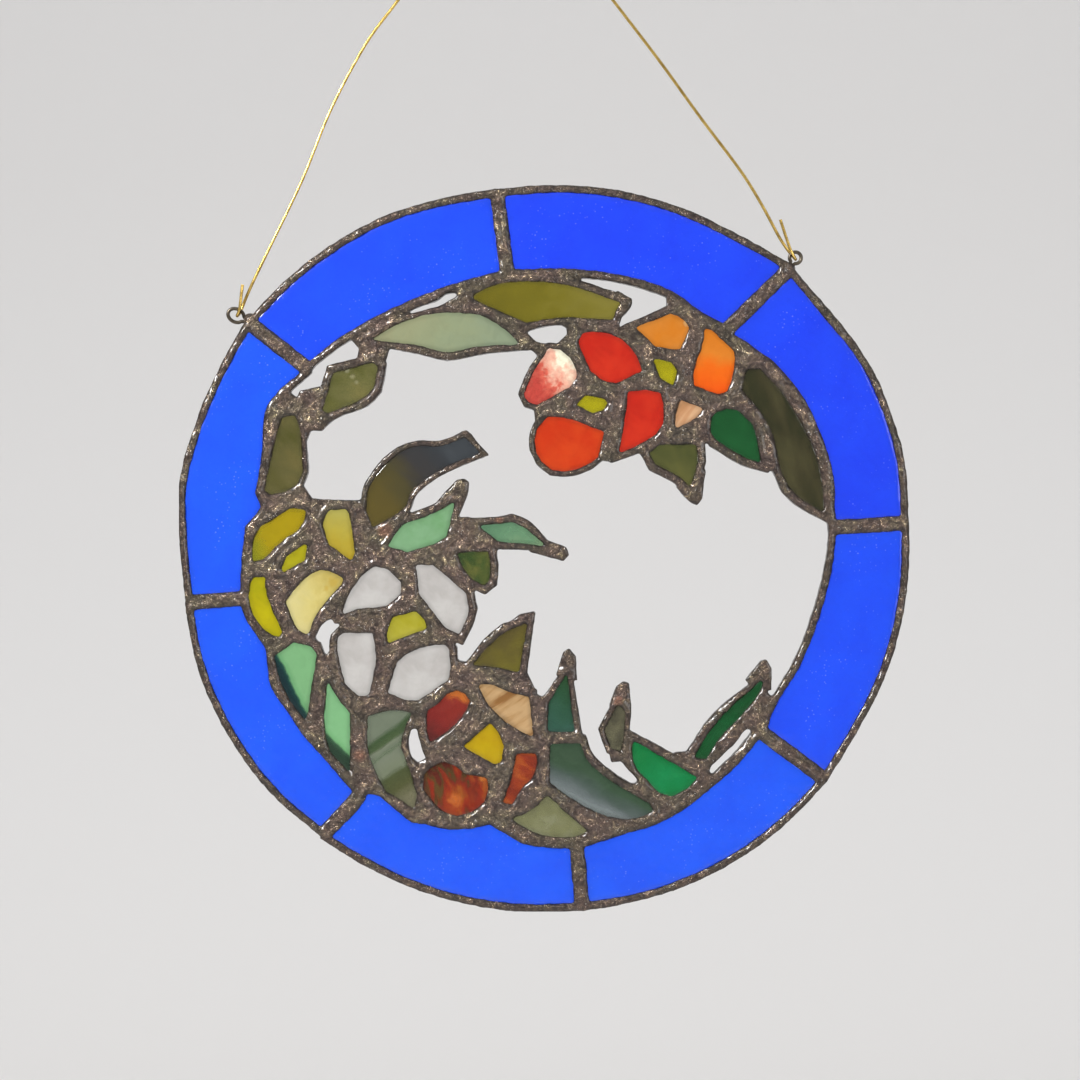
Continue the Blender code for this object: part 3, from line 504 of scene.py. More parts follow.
WREATH_GLASS = {
    "leaf_sage_top": SheetGlass(
        ((0.2, "#989a76"), (0.5, "#929b79"), (0.8, "#8b987c")), direction=0, run=44,
        gradient=0.8, cloud=0.4, cloud_size=12, milk=0.5),
    "leaf_olive_top": SheetGlass(
        ((0.15, "#716814"), (0.5, "#7a7119"), (0.85, "#877e33")), direction=10, run=44,
        gradient=0.9, cloud=0.4, stretch=0.4, milk=0.4),
    "leaf_olive_upper_left": SheetGlass(
        ((0.3, "#5e5f29"), (0.55, "#727040"), (0.75, "#807945")), stretch=2.5, direction=60,
        milk=0.35, patches=((-42.8, -139.0, 0.9, "#a3a07c"), (-41.4, -140.6, 0.8, "#96926c"),
                            (-40.2, -142.2, 0.7, "#96926c"))),
    "leaf_olive_left": SheetGlass(
        ((0.3, "#535221"), (0.55, "#666136"), (0.75, "#72693a")), stretch=2.5, direction=60,
        milk=0.35),
    "leaf_charcoal_curved": SheetGlass(
        ((0.1, "#635624"), (0.3, "#534c2a"), (0.5, "#3f3c3a"), (0.8, "#3a3e42"),
         (1.0, "#494e52")), direction=40, run=34, gradient=1.0, cloud=0.35, cloud_size=7,
        stretch=2.0, milk=0.35),
    "leaf_mint_middle": SheetGlass(
        ((0.3, "#72a06f"), (0.7, "#80aa7f")), milk=0.5),
    "leaf_teal_middle": SheetGlass(
        ((0.2, "#5f8a68"), (0.6, "#6c9470"), (0.85, "#86a179")), direction=-20, run=20,
        gradient=0.7, cloud=0.5, milk=0.45),
    "leaf_dark_green_small": SheetGlass(
        ((0.3, "#3c5224"), (0.5, "#515e2a"), (0.75, "#6f6f35")), cloud_size=5, milk=0.35),
    "leaf_dark_green_right": SheetGlass(
        ((0.3, "#135526"), (0.7, "#195e2d")), milk=0.35),
    "leaf_olive_below_flower": SheetGlass(
        ((0.25, "#4b5126"), (0.5, "#5c5e2f"), (0.8, "#6e6d37")), stretch=2.5, direction=30,
        milk=0.35),
    "leaf_dark_olive_right": SheetGlass(
        ((0.3, "#323319"), (0.5, "#413d23"), (0.72, "#504c2e")), stretch=2.5, direction=20,
        milk=0.35),
    "petal_mottled_pink": SheetGlass(
        ((0.2, "#bf473c"), (0.42, "#d36451"), (0.52, "#e8a28b"), (0.7, "#ecbfa6"),
         (0.85, "#f4f0d5")), direction=40, run=17, gradient=0.9, cloud=0.55, cloud_size=3.2,
        milk=0.55, face=Face.RIPPLED),
    "petal_red_top": RED,
    "petal_red_lower": RED,
    "petal_orange_red_round": SheetGlass(
        ((0.3, "#cc360a"), (0.7, "#d54513")), milk=0.45),
    "petal_orange_top": SheetGlass(
        ((0.15, "#d78a38"), (0.6, "#d17d1e"), (0.9, "#d98e3d")), direction=-30, run=17,
        gradient=0.8, cloud=0.4, milk=0.5, patches=((51.0, -125.7, 1.6, "#eab878"),)),
    "petal_orange_right": SheetGlass(
        ((0.1, "#d67a1c"), (0.4, "#de8428"), (0.62, "#eb6c0d"), (0.9, "#ee5c06")),
        direction=-90, run=20, gradient=1.0, cloud=0.25, milk=0.5),
    "petal_peach_small": SheetGlass(
        ((0.25, "#b7865c"), (0.5, "#c6956c"), (0.75, "#d1a77f")), direction=-35,
        cloud_size=2.2, stretch=6, milk=0.6),
    "petal_gold_left": SheetGlass(
        ((0.1, "#8b8c18"), (0.35, "#aa9607"), (0.7, "#ad9705"), (0.95, "#a49106")),
        direction=45, run=22, gradient=0.9, cloud=0.4, milk=0.4),
    "petal_gold_upper": SheetGlass(
        ((0.1, "#b3ab56"), (0.45, "#b7a740"), (0.9, "#b1971a")), direction=-80, run=18,
        gradient=0.9, cloud=0.4, milk=0.45),
    "petal_yellow_left": SheetGlass(
        ((0.25, "#aaa500"), (0.5, "#baae00"), (0.8, "#c1b602")), milk=0.4),
    "petal_pale_yellow": SheetGlass(
        ((0.2, "#ddd292"), (0.5, "#d9cb80"), (0.8, "#c4b05c")), direction=20, run=20,
        gradient=0.7, cloud=0.4, cloud_size=6, milk=0.4,
        patches=((-46.6, -197.0, 1.6, "#c6ab4e"), (-45.4, -194.6, 1.2, "#cbb058"),
                 (-48.6, -198.8, 1.0, "#c8ad52"))),
    "petal_white_left": WHITE,
    "petal_white_right": WHITE,
    "petal_white_lower_left": WHITE,
    "petal_white_lower_right": WHITE,
    "centre_lime_large": LIME,
    "centre_lime_small": LIME,
    "centre_lime_left": SheetGlass(
        ((0.3, "#aca307"), (0.7, "#b5ae17")), milk=0.4),
    "centre_yellow_white_flower": SheetGlass(
        ((0.3, "#aba422"), (0.7, "#b3ac3d")), milk=0.45),
    "centre_yellow_bottom": SheetGlass(
        ((0.3, "#be9c00"), (0.7, "#c3a601")), milk=0.4),
    # The dark end of the run in leaf_mint_left and leaf_mint_dark_edge is painted shade along the
    # solder
    "leaf_mint_left": SheetGlass(
        ((0.30, "#122f33"), (0.46, "#19433c"), (0.60, "#6ca26f"), (0.85, "#7bae7a")),
        direction=26, run=5, offset=-1.2, gradient=1.0, cloud=0.16, cloud_size=4, milk=0.5),
    "leaf_mint_dark_edge": SheetGlass(
        ((0.28, "#29402f"), (0.46, "#375a3f"), (0.60, "#73ac75"), (0.85, "#7fb580")),
        direction=46, run=5, offset=-3.5, gradient=1.0, cloud=0.16, cloud_size=4, milk=0.5),
    "leaf_streaky_green": SheetGlass(
        ((0.0, "#717a67"), (0.22, "#717a67"), (0.26, "#3e5232"), (0.33, "#4a5b3a"),
         (0.36, "#777e6b"), (0.42, "#647159"), (0.45, "#777e6b"), (0.58, "#747c65"),
         (0.63, "#48502e"), (0.75, "#525532"), (0.86, "#706e54"), (1.0, "#737056")),
        direction=-52, run=29, gradient=1.0, cloud=0.10, cloud_size=9, stretch=2.5, milk=0.5),
    "petal_dark_red": SheetGlass(
        ((0.1, "#64241f"), (0.35, "#862721"), (0.75, "#902e22"), (0.9, "#c8702c")),
        direction=62, run=20, gradient=1.0, cloud=0.35, cloud_size=5, milk=0.4),
    "petal_peach_bottom": SheetGlass(
        ((0.25, "#8a6034"), (0.42, "#ae8a5d"), (0.7, "#bd9c70")), direction=-55,
        cloud_size=2.4, stretch=6, milk=0.6),
    "petal_orange_mottled": SheetGlass(
        ((0.28, "#591e11"), (0.38, "#50441e"), (0.46, "#822611"), (0.58, "#972f11"),
         (0.72, "#ad581b")), direction=15, cloud_size=6, stretch=2.2, milk=0.4,
        patches=((-13.2, -257.1, 2.2, "#c46a2c"), (-5.8, -250.3, 1.8, "#cc7834"))),
    "petal_orange_red_bottom": SheetGlass(
        ((0.3, "#822c17"), (0.5, "#9a3819"), (0.7, "#af5320")), direction=70, cloud_size=3,
        stretch=3, milk=0.4),
    "leaf_olive_pointed": SheetGlass(
        ((0.2, "#594f23"), (0.5, "#645928"), (0.85, "#797122")), direction=-45, run=18,
        gradient=0.7, cloud=0.5, milk=0.35),
    "leaf_dark_green_upright": SheetGlass(
        ((0.2, "#2a522c"), (0.5, "#2b553a"), (0.8, "#335d4d")), direction=-90, run=18,
        gradient=0.7, cloud=0.4, milk=0.4),
    "leaf_slate_crescent": SheetGlass(
        ((0.0, "#364c36"), (0.55, "#3c543d"), (0.66, "#495950"), (0.78, "#6b7474"),
         (0.88, "#7e8786"), (1.0, "#57645f")), direction=243, run=20, gradient=1.0,
        cloud=0.22, cloud_size=8, stretch=3, milk=0.45),
    "leaf_sage_bottom": SheetGlass(
        ((0.25, "#717150"), (0.5, "#7d7e57"), (0.8, "#898a6a")), cloud_size=7, milk=0.45),
    "leaf_grey_green_right": SheetGlass(
        ((0.3, "#4f4c3b"), (0.5, "#5d5a45"), (0.75, "#6f6c52")), cloud_size=4, milk=0.4),
    "leaf_emerald": SheetGlass(
        ((0.3, "#067b3b"), (0.7, "#0b8a4c")), milk=0.4),
    "leaf_dark_emerald": SheetGlass(
        ((0.3, "#084e1f"), (0.7, "#0e5c2b")), milk=0.35),
}


@dataclass(frozen=True)
class PatinaSolder:
    """Tin-lead solder under a copper sulphate patina: brown-black, worn brighter in places.

    Copper foil shows through in a few thin places. Beside the glass and at the rim its colour is
    darker, partly patina and partly painted shade, and its rubbed streaks are painted glints.
    """

    shadow: str = "#38302d"
    body: str = "#4f4641"
    rubbed: str = "#61564d"
    worn: str = "#9a8d78"
    # bare solder, painted near-white as glints
    bare_glint: str = "#ece6dc"
    copper: str = "#8a5c48"
    copper_places: tuple[tuple[float, float, float], ...] = (
        (-32.5, -182.8, 2.6), (31.7, -229.6, 1.8), (-39.4, -244.7, 2.2), (-1.0, -180.0, 1.6),
    )                              # x, z and radius in mm, where the foil shows

    def material(self) -> bpy.types.Material:
        """Return the patinated solder's material."""
        # The wax that keeps the patina gives it its small white lights
        material, shader = new_material("tin_lead_solder_copper_patina", {
            "Metallic": 0.85, "Coat Weight": 0.5, "Coat Roughness": 0.2})
        tree = material.node_tree
        place = add_node(tree, "ShaderNodeTexCoord").outputs["Object"]
        stains = add_node(tree, "ShaderNodeTexNoise", {
            "Scale": 1 / (2.6 * MM), "Detail": 4.0, "Roughness": 0.55, "Distortion": 1.6},
            {"Vector": place}).outputs["Fac"]
        colour = colour_ramp(tree, stains, (
            (0.36, self.shadow), (0.46, self.body), (0.60, self.rubbed), (0.72, self.worn)))
        # The patina took browner, greener and more violet in patches of about 7 mm
        drift = add_node(tree, "ShaderNodeTexNoise", {
            "Scale": 1 / (7.0 * MM), "Detail": 3.0}, {"Vector": place}).outputs["Fac"]
        tint = colour_ramp(tree, drift, (
            (0.36, "#f2e4e0"), (0.46, "#fdf1e6"), (0.56, "#f6f3e2"), (0.66, "#e9ecd8")))
        # The colour is darker in the corner beside the glass and at the rim, partly the patina that
        # stays thick there and partly painted shade, and lightens as the patina thins out over the
        # next
        # 1.5 mm, with edges that wander by about 0.3 mm
        from_edge = add_node(tree, "ShaderNodeAttribute",
                             {"attribute_name": "from_edge_mm"}).outputs["Fac"]
        wander = add_node(tree, "ShaderNodeTexNoise", {
            "Scale": 1 / (1.7 * MM), "Detail": 2.0}, {"Vector": place}).outputs["Fac"]
        third = add_node(tree, "ShaderNodeMath", {"operation": "MULTIPLY_ADD", 1: 0.4, 2: -0.2},
                         {0: wander}).outputs[0]
        across = add_node(tree, "ShaderNodeMath", {"operation": "MULTIPLY_ADD", 1: 1 / 3},
                          {0: from_edge, 2: third}).outputs[0]
        bead = colour_ramp(tree, across, (
            (0.04, "#b2b0b0"), (0.15, "#d8d6d6"), (0.33, "#e8e7e6"), (0.50, "#ffffff")))
        for share in (tint, bead):
            colour = add_node(tree, "ShaderNodeMix", {
                "data_type": "RGBA", "blend_type": "MULTIPLY", "Factor": 1.0},
                {6: colour, 7: share}).outputs[2]
        # Streaks of bare solder, about 0.3 mm across, where the patina was rubbed off, painted
        # near-white as glints
        specks = add_node(tree, "ShaderNodeTexNoise", {
            "Scale": 1 / (0.8 * MM), "Detail": 2.0, "Distortion": 2.6},
            {"Vector": place}).outputs["Fac"]
        bare_glint_share = add_node(tree, "ShaderNodeMapRange", {
            "From Min": 0.68, "From Max": 0.76, "To Max": 0.8}, {"Value": specks}).outputs[0]
        colour = add_node(tree, "ShaderNodeMix", {
            "data_type": "RGBA", 7: linear(self.bare_glint)},
            {"Factor": bare_glint_share, 6: colour}).outputs[2]
        for x, z, radius in self.copper_places:
            away = add_node(tree, "ShaderNodeVectorMath", {
                "operation": "DISTANCE", 1: (x * MM, -2.3 * MM, z * MM)},
                {0: place}).outputs["Value"]
            near = add_node(tree, "ShaderNodeMapRange", {
                "From Min": radius * MM, "From Max": radius * 0.4 * MM, "To Max": 0.8},
                {"Value": away}).outputs[0]
            blotch = add_node(tree, "ShaderNodeMath", {"operation": "MULTIPLY"},
                              {0: near, 1: stains}).outputs[0]
            colour = add_node(tree, "ShaderNodeMix", {
                "data_type": "RGBA", 7: linear(self.copper)},
                {"Factor": blotch, 6: colour}).outputs[2]
        tree.links.new(colour, shader.inputs["Base Color"])
        smear = add_node(tree, "ShaderNodeMapRange", {
            "From Min": 0.35, "From Max": 0.65, "To Min": 0.44, "To Max": 0.22},
            {"Value": stains}).outputs[0]
        tree.links.new(smear, shader.inputs["Roughness"])
        # Swirls and wrinkles where the iron dragged the solder, from 1.5 mm down to 0.3 mm
        drag = add_node(tree, "ShaderNodeTexNoise", {
            "Scale": 1 / (1.5 * MM), "Detail": 3.0, "Roughness": 0.50, "Distortion": 2.4},
            {"Vector": place}).outputs["Fac"]
        relief = add_node(tree, "ShaderNodeBump", {"Strength": 1.0, "Distance": 0.48 * MM},
                          {"Height": drag}).outputs["Normal"]
        tree.links.new(relief, shader.inputs["Normal"])
        return material


@dataclass(frozen=True)
class DrawnWire:
    """Drawn wire: fine marks of the die in its relief, and a colour that drifts between a light
    and a dark tone.
    """

    name: str
    light: str
    dark: str
    roughness: float
    metallic: float = 1.0

    def material(self) -> bpy.types.Material:
        """Return the wire's material."""
        material, shader = new_material(self.name, {
            "Metallic": self.metallic, "Roughness": self.roughness})
        tree = material.node_tree
        place = add_node(tree, "ShaderNodeTexCoord").outputs["Object"]
        stains = add_node(tree, "ShaderNodeTexNoise", {
            "Scale": 1 / (2.5 * MM), "Detail": 5.0}, {"Vector": place}).outputs["Fac"]
        colour = colour_ramp(tree, stains, ((0.35, self.dark), (0.6, self.light)))
        tree.links.new(colour, shader.inputs["Base Color"])
        marks = add_node(tree, "ShaderNodeTexNoise", {
            "Scale": 1 / (0.4 * MM), "Detail": 3.0}, {"Vector": place}).outputs["Fac"]
        relief = add_node(tree, "ShaderNodeBump", {"Strength": 0.6, "Distance": 0.03 * MM},
                          {"Height": marks}).outputs["Normal"]
        tree.links.new(relief, shader.inputs["Normal"])
        return material


BRASS = DrawnWire("drawn_brass_wire", "#cdae62", "#a58848", 0.26)
TINNED = DrawnWire("tinned_copper_wire", "#5c5449", "#3a332c", 0.34, 0.9)


@dataclass
class SolderLattice:
    """Foil and solder between the pieces of glass: one body with a rounded, lumpy bead."""

    node: str = "solder_lattice"
    half_depth: float = 1.92 * MM      # before the ridges and lumps
    limit: float = 2.48 * MM           # the highest lump, from the middle of the glass
    soft_from: float = 2.2 * MM        # lumps above this are pressed together
    inset: float = 0.015 * MM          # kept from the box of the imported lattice
    sharp_turn: float = math.radians(24)
    voxel: float = 0.34 * MM
    plan_rounds: int = 1               # passes that round the outlines' corners
    bead_rounds: int = 10              # passes that round the bead's edges
    ridge: float = 0.40 * MM           # the bead that was drawn round each piece of glass
    ridge_place: float = 1.15          # mm from the glass to its top
    ridge_width: float = 0.48          # mm
    ridge_runs: float = 7.0            # mm, over which the ridge grows and fades
    ridge_share: float = 0.6           # of the ridge that is there on average
    # Size and height in mm of the lumps that run through each other
    lumps: tuple[tuple[float, float], ...] = ((5.0, 0.24), (2.1, 0.32), (0.9, 0.12))
    side_share: float = 0.35           # of the lumps' height that is left on the bead's sides
    triangles: int = 190_000
    fillets: tuple[tuple[float, float, float], ...] = (
        (-69.6, -124.9, 1.9), (78.7, -110.9, 1.9))    # x, z, radius in mm at the eyelets
    outline_steps: int = 5

    def plate(self, loops: list[list[Vector]]) -> bpy.types.Mesh:
        """Cut the lattice from a thick plate, with smooth curves between its sharp corners."""
        curve = bpy.data.curves.new("lattice_outline", "CURVE")
        curve.dimensions = "2D"
        curve.fill_mode = "BOTH"
        curve.extrude = self.half_depth
        curve.resolution_u = self.outline_steps
        for loop in loops:
            spline = curve.splines.new("BEZIER")
            spline.bezier_points.add(len(loop) - 1)
            spline.use_cyclic_u = True
            for index, knot in enumerate(spline.bezier_points):
                corner = loop[index]
                before = corner - loop[index - 1]
                after = loop[(index + 1) % len(loop)] - corner
                kind = "VECTOR" if before.angle(after) > self.sharp_turn else "AUTO"
                knot.co = (corner.x, corner.z, 0.0)
                knot.handle_left_type = kind
                knot.handle_right_type = kind
        outline = bpy.data.objects.new("lattice_outline", curve)
        bpy.context.scene.collection.objects.link(outline)
        bpy.context.view_layer.update()
        mesh = applied(outline)
        mesh.transform(Matrix.Rotation(math.radians(90), 4, "X"))
        return mesh

    def fused(self, loops: list[list[Vector]]) -> bpy.types.Mesh:
        """Fuse the plate and the fillets at the eyelets into one even skin."""
        body = bmesh.new()
        body.from_mesh(self.plate(loops))
        bmesh.ops.remove_doubles(body, verts=body.verts, dist=0.005 * MM)
        for x, z, radius in self.fillets:
            bmesh.ops.create_icosphere(body, subdivisions=3, radius=radius * MM,
                                       matrix=Matrix.Translation((x * MM, 0.0, z * MM)))
        return voxel_skin(mesh_piece("fused_lattice", body), self.voxel)

    def window_loops(self, loops: list[list[Vector]]) -> list[list[Vector]]:
        """Pick the outlines that have a piece of glass in them."""
        panes = [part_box(name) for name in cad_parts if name.startswith(PANE_PREFIXES)]
        windows = []
        for loop in loops:
            low = Vector(min(corner[axis] for corner in loop) for axis in range(3))
            high = Vector(max(corner[axis] for corner in loop) for axis in range(3))
            if any(all(abs(low[axis] - box[0][axis]) < 2 * MM
                       and abs(high[axis] - box[1][axis]) < 2 * MM for axis in (0, 2))
                   for box in panes):
                windows.append(loop)
        return windows

    def rounded(self, loops: list[list[Vector]]) -> bmesh.types.BMesh:
        """Round the bead, and raise its ridges and lumps."""
        body = bmesh.new()
        body.from_mesh(self.fused(loops))
        for sideways, rounds in ((True, self.plan_rounds), (False, self.bead_rounds)):
            for _ in range(rounds):
                bmesh.ops.smooth_vert(body, verts=body.verts, factor=0.5, use_axis_x=sideways,
                                      use_axis_y=True, use_axis_z=sideways)
        body.normal_update()
        glass = outline_tree(self.window_loops(loops))
        low, high = (Vector(corner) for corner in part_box(self.node))
        room = self.limit - self.soft_from
        for corner in body.verts:
            beside = (distance_mm(glass, corner.co) - self.ridge_place) / self.ridge_width
            drawn = self.ridge_share + noise.noise(corner.co / (self.ridge_runs * MM))
            ridge = self.ridge * min(max(drawn, 0.0), 1.0) * math.exp(-beside ** 2)
            facing = abs(corner.normal.y)
            rise = sum(noise.noise(corner.co / (size * MM)) * height * MM
                       for size, height in self.lumps)
            share = self.side_share + (1 - self.side_share) * facing
            corner.co += corner.normal * rise * share
            corner.co.y += math.copysign(ridge * facing, corner.normal.y)
            corner.co.x = min(max(corner.co.x, low.x + self.inset), high.x - self.inset)
            corner.co.z = min(max(corner.co.z, low.z + self.inset), high.z - self.inset)
            above = abs(corner.co.y) - self.soft_from
            if above > 0:
                pressed = self.soft_from + room * (1 - math.exp(-above / room))
                corner.co.y = math.copysign(pressed, corner.co.y)
        return body

    def build(self) -> bpy.types.Object:
        """Make the solder and put it in the lattice's place."""
        loops = front_loops(self.node)
        piece = mesh_piece("solder_bead", self.rounded(loops))
        count = len(piece.data.polygons) * 2
        fewer = piece.modifiers.new("fewer", "DECIMATE")
        fewer.ratio = min(1.0, self.triangles / count)
        mesh = applied(piece)
        piece = bpy.data.objects.new("solder_bead", mesh)
        bpy.context.scene.collection.objects.link(piece)
        mesh.shade_smooth()
        # Distance from the outlines, which the solder's painted shade and thick patina read
        edges = outline_tree(loops)
        from_edge = mesh.attributes.new("from_edge_mm", "FLOAT", "POINT")
        from_edge.data.foreach_set(
            "value", [distance_mm(edges, corner.co) for corner in mesh.vertices])
        mesh.materials.clear()
        mesh.materials.append(PatinaSolder().material())
        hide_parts(self.node)
        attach(piece, ROOT)
        LOG.info("solder_bead: %d faces from %d", len(mesh.polygons), count)
        return piece


@dataclass
class GlassPanes:
    """The pieces of glass: the blue ring and the wreath, each cut from its own sheet."""

    ring_spacing: float = 0.60 * MM    # between the points of the mesh
    wreath_spacing: float = 0.42 * MM
    polish: int = 4                    # passes that even out the skin across its thickness
    lap: float = 0.7                   # mm of each pane's edge under the solder
    facing: float = 0.7                # part of a normal along Y, from which a point is on a face

    def rolled(self, name: str, sheet: SheetGlass, spacing: float) -> bpy.types.Object:
        """Cut one pane with its rolled faces, and put it in its node's place.

        Args:
            name: the pane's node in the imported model.
            sheet: the glass that it is cut from.
            spacing: distance between the points of its mesh, in metres.

        Returns:
            The pane.
        """
        body = bmesh.new()
        body.from_mesh(voxel_skin(mesh_piece(name + "_blank", merged_copy(name)), spacing))
        for _ in range(self.polish):
            bmesh.ops.smooth_vert(body, verts=body.verts, factor=0.5, use_axis_y=True)
        body.normal_update()
        outline = outline_tree(front_loops(name))
        # Distance from the solder, which the glass's painted shade beside the solder reads
        from_solder = body.verts.layers.float.new("from_solder_mm")
        grain, depth, _ = sheet.face.value
        for corner in body.verts:
            corner[from_solder] = max(distance_mm(outline, corner.co) - self.lap, 0.0)
            if abs(corner.normal.y) > self.facing:
                rise = noise.noise(corner.co / (grain * MM)) * depth * MM
                corner.co.y += math.copysign(rise, corner.normal.y)
        pane = mesh_piece("sheet_" + name, body)
        pane.data.materials.append(sheet.material(name))
        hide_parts(name)
        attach(pane, ROOT)
        return pane

    def build(self) -> list[bpy.types.Object]:
        """Cut every pane from its sheet of glass."""
        panes = []
        for name in sorted(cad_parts):
            if name.startswith(PANE_PREFIXES):
                ring = name.startswith(RING_PREFIX)
                pane = self.rolled(name, RING_GLASS[name] if ring else WREATH_GLASS[name],
                                   self.ring_spacing if ring else self.wreath_spacing)
                panes.append(pane)
        faces = sum(len(pane.data.polygons) for pane in panes)
        LOG.info("glass: %d panes, %d faces", len(panes), faces)
        return panes


@dataclass
class Eyelet:
    """Wire loop soldered into the rim."""

    name: str
    foot: tuple[float, float]      # x and z in mm, where its leg enters the rim
    lean: float                    # degrees from +X that it points
    half_length: float             # mm, to the wire's middle
    half_width: float              # mm
    thickness: float = 1.0         # mm
    neck: float = 1.2              # mm from the rim to the nearest point of the wire's middle
    bend_from: float = 205.0       # degrees round the loop where the bend starts
    bend_through: float = 310.0    # degrees that it turns through
    bend_steps: int = 32

    def build(self) -> bpy.types.Object:
        """Bend the eyelet and put it in its solid's place."""
        turn = math.radians(self.lean)
        along = Vector((math.cos(turn), 0.0, math.sin(turn)))
        across = Vector((-along.z, 0.0, along.x))
        foot = Vector((self.foot[0], 0.0, self.foot[1]))
        middle = self.neck + self.half_length
        route = [foot - along * 2.0, foot + along * 0.5 - across * 0.2]
        for step in range(self.bend_steps + 1):
            angle = math.radians(self.bend_from + self.bend_through * step / self.bend_steps)
            route.append(foot + along * (middle + self.half_length * math.cos(angle))
                         + across * self.half_width * math.sin(angle))
        route += [foot + along * 0.5 + across * 0.4, foot - along * 1.0 + across * 0.3]
        wire = round_wire(self.name + "_bend", [point * MM for point in route],
                          self.thickness * MM)
        mesh = applied(wire)
        body = bmesh.new()
        body.from_mesh(mesh)
        bmesh.ops.remove_doubles(body, verts=body.verts, dist=0.002 * MM)
        piece = mesh_piece(self.name + "_wire", body)
        piece.data.materials.append(TINNED.material())
        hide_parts(self.name)
        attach(piece, ROOT)
        LOG.info("%s: %d faces", piece.name, len(piece.data.polygons))
        return piece


@dataclass
class HangingWire:
    """Brass wire from its left tail through both eyelets to its right tail."""

    node: str = "hanging_wire"
    thickness: float = 0.85 * MM
    steps: int = 6
    route: tuple[tuple[float, float, float], ...] = (
        (-71.6, -1.2, -115.3), (-72.0, -1.3, -118.6), (-72.3, -1.3, -121.3),
        (-72.7, -1.1, -122.8), (-73.1, -0.6, -123.6), (-73.2, 0.0, -123.8),
        (-73.0, 0.6, -123.5), (-72.5, 1.1, -122.6), (-71.9, 1.3, -121.2),
        (-70.9, 1.1, -118.7), (-68.6, 0.3, -113.8), (-64.2, 0.0, -104.8),
        (-55.3, 0.0, -86.3), (-47.6, 0.0, -67.3), (-38.0, 0.0, -49.2), (-28.9, 0.0, -36.8),
        (-16.0, 0.0, -19.2), (-6.0, 0.0, -5.5), (-2.7, 0.0, -1.1), (-1.4, 0.0, 0.1),
        (0.0, 0.0, 0.40), (1.4, 0.0, 0.1), (2.8, 0.0, -1.1), (6.2, 0.0, -5.4),
        (16.5, 0.0, -18.8), (30.3, 0.0, -36.8), (43.3, 0.0, -53.8), (54.3, 0.0, -69.0),
        (65.3, 0.0, -83.6), (71.2, 0.1, -93.0), (75.8, 0.6, -101.4), (77.9, 1.1, -104.6),
        (79.2, 1.3, -106.3), (80.0, 1.1, -107.3), (80.5, 0.6, -108.0), (80.6, 0.0, -108.2),
        (80.3, -0.6, -107.8), (79.6, -1.1, -106.7), (78.6, -1.3, -104.4), (76.3, -1.2, -97.4),
    )                              # mm

    def build(self) -> bpy.types.Object:
        points = smooth_route([Vector(point) * MM for point in self.route], self.steps)
        wire = round_wire("brass_hanging_wire", points, self.thickness)
        wire.data.materials.append(BRASS.material())
        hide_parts(self.node)
        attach(wire, ROOT)
        return wire


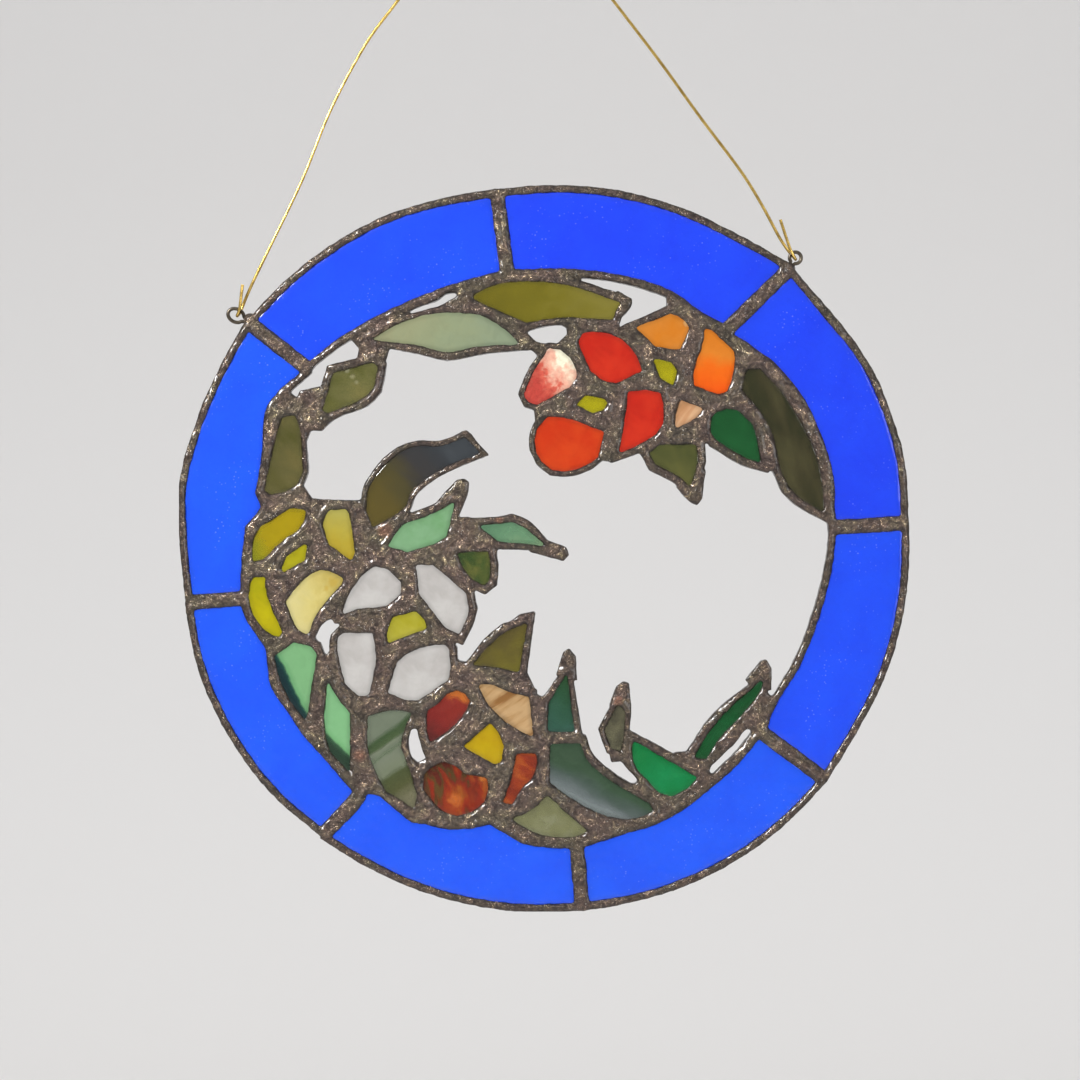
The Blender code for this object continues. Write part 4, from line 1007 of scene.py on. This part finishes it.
@dataclass
class Studio:
    """Pale floor that curves up into a wall, soft light, and the camera."""

    floor: float = -0.55           # m, below the hook
    wall: float = 1.7              # m behind the panel
    bend: float = 0.7              # m, radius between the floor and the wall
    width: float = 6.0
    height: float = 3.0
    distance: float = 0.75         # m from the camera to the panel
    # A pale ceiling above darker walls, for the solder and the wire to reflect: the upward part
    # of a direction with its colour
    air: tuple[tuple[float, str], ...] = (
        (0.0, "#a4a6aa"), (0.15, "#a4a6aa"), (0.45, "#dcdee2"), (0.8, "#ffffff"))
    air_strength: float = 1.01

    def backdrop(self) -> bpy.types.Object:
        """Build the floor and the wall as one sweep."""
        body = bmesh.new()
        near = 3.0
        depth = near + self.wall - self.bend
        bmesh.ops.create_grid(body, x_segments=1, y_segments=1, size=0.5, matrix=(
            Matrix.Translation((0.0, depth / 2 - near, self.floor))
            @ Matrix.Diagonal((self.width, depth, 1.0, 1.0))))
        far = max(corner.co.y for corner in body.verts)
        edge = [edge for edge in body.edges
                if all(corner.co.y > far - 0.001 for corner in edge.verts)]
        turned = bmesh.ops.spin(body, geom=edge, cent=(0.0, far, self.floor + self.bend),
                                axis=(1.0, 0.0, 0.0), angle=math.radians(90), steps=24)
        last = [item for item in turned["geom_last"] if isinstance(item, bmesh.types.BMEdge)]
        risen = bmesh.ops.extrude_edge_only(body, edges=last)
        corners = [item for item in risen["geom"] if isinstance(item, bmesh.types.BMVert)]
        bmesh.ops.translate(body, verts=corners, vec=(0.0, 0.0, self.height))
        bmesh.ops.recalc_face_normals(body, faces=body.faces)
        sweep = mesh_piece("studio_sweep", body)
        material, _ = new_material("matt_paper_sweep", {
            "Base Color": linear("#e6e4e2"), "Roughness": 0.9})
        sweep.data.materials.append(material)
        return sweep

    def light(self, name: str, place: tuple[float, float, float], size: float,
              power: float) -> None:
        """Hang a soft square light that faces the panel.

        Args:
            name: the light's name.
            place: where it hangs, in metres.
            size: its width, in metres.
            power: its power, in watts.
        """
        lamp = bpy.data.lights.new(name, "AREA")
        lamp.size = size
        lamp.energy = power
        holder = bpy.data.objects.new(name, lamp)
        holder.location = place
        holder.rotation_euler = (VIEW_MIDDLE - Vector(place)).to_track_quat("-Z", "Y").to_euler()
        bpy.context.scene.collection.objects.link(holder)

    def camera(self) -> None:
        """Stand the camera straight in front, where the photograph was taken."""
        lens = bpy.data.cameras.new("camera")
        lens.sensor_width = 36.0
        lens.lens = lens.sensor_width * self.distance / VIEW_WIDTH
        lens.clip_start = 0.05
        holder = bpy.data.objects.new("camera", lens)
        holder.location = VIEW_MIDDLE - Vector((0.0, self.distance, 0.0))
        holder.rotation_euler = (math.radians(90), 0.0, 0.0)
        bpy.context.scene.collection.objects.link(holder)
        bpy.context.scene.camera = holder

    def build(self) -> None:
        """Set up the whole studio."""
        self.backdrop()
        world = bpy.data.worlds.new("studio_air")
        world.use_nodes = True
        tree = world.node_tree
        around = add_node(tree, "ShaderNodeTexCoord").outputs["Generated"]
        upward = add_node(tree, "ShaderNodeSeparateXYZ", links={0: around}).outputs["Z"]
        tree.links.new(colour_ramp(tree, upward, self.air),
                       tree.nodes["Background"].inputs["Color"])
        tree.nodes["Background"].inputs["Strength"].default_value = self.air_strength
        bpy.context.scene.world = world
        self.light("window_light", (-0.50, -0.50, 0.22), 0.13, 9.0)
        self.light("fill_light", (0.8, -0.8, -0.05), 0.5, 4.0)
        self.camera()
        bpy.context.scene.view_settings.view_transform = "Standard"
        LOG.info("studio: floor %.2f m below the hook", -self.floor)


def main() -> None:
    """Build and dress the panel, piece by piece, and set up the studio."""
    logging.basicConfig(level=logging.INFO, format="%(name)s %(message)s")
    Studio().build()
    HangingWire().build()
    SolderLattice().build()
    GlassPanes().build()
    Eyelet("eyelet_left", (-70.43, -125.28), 152.6, 2.3, 1.8).build()
    Eyelet("eyelet_right", (79.19, -110.24), 61.0, 1.6, 1.6).build()


if __name__ == "__main__":
    main()
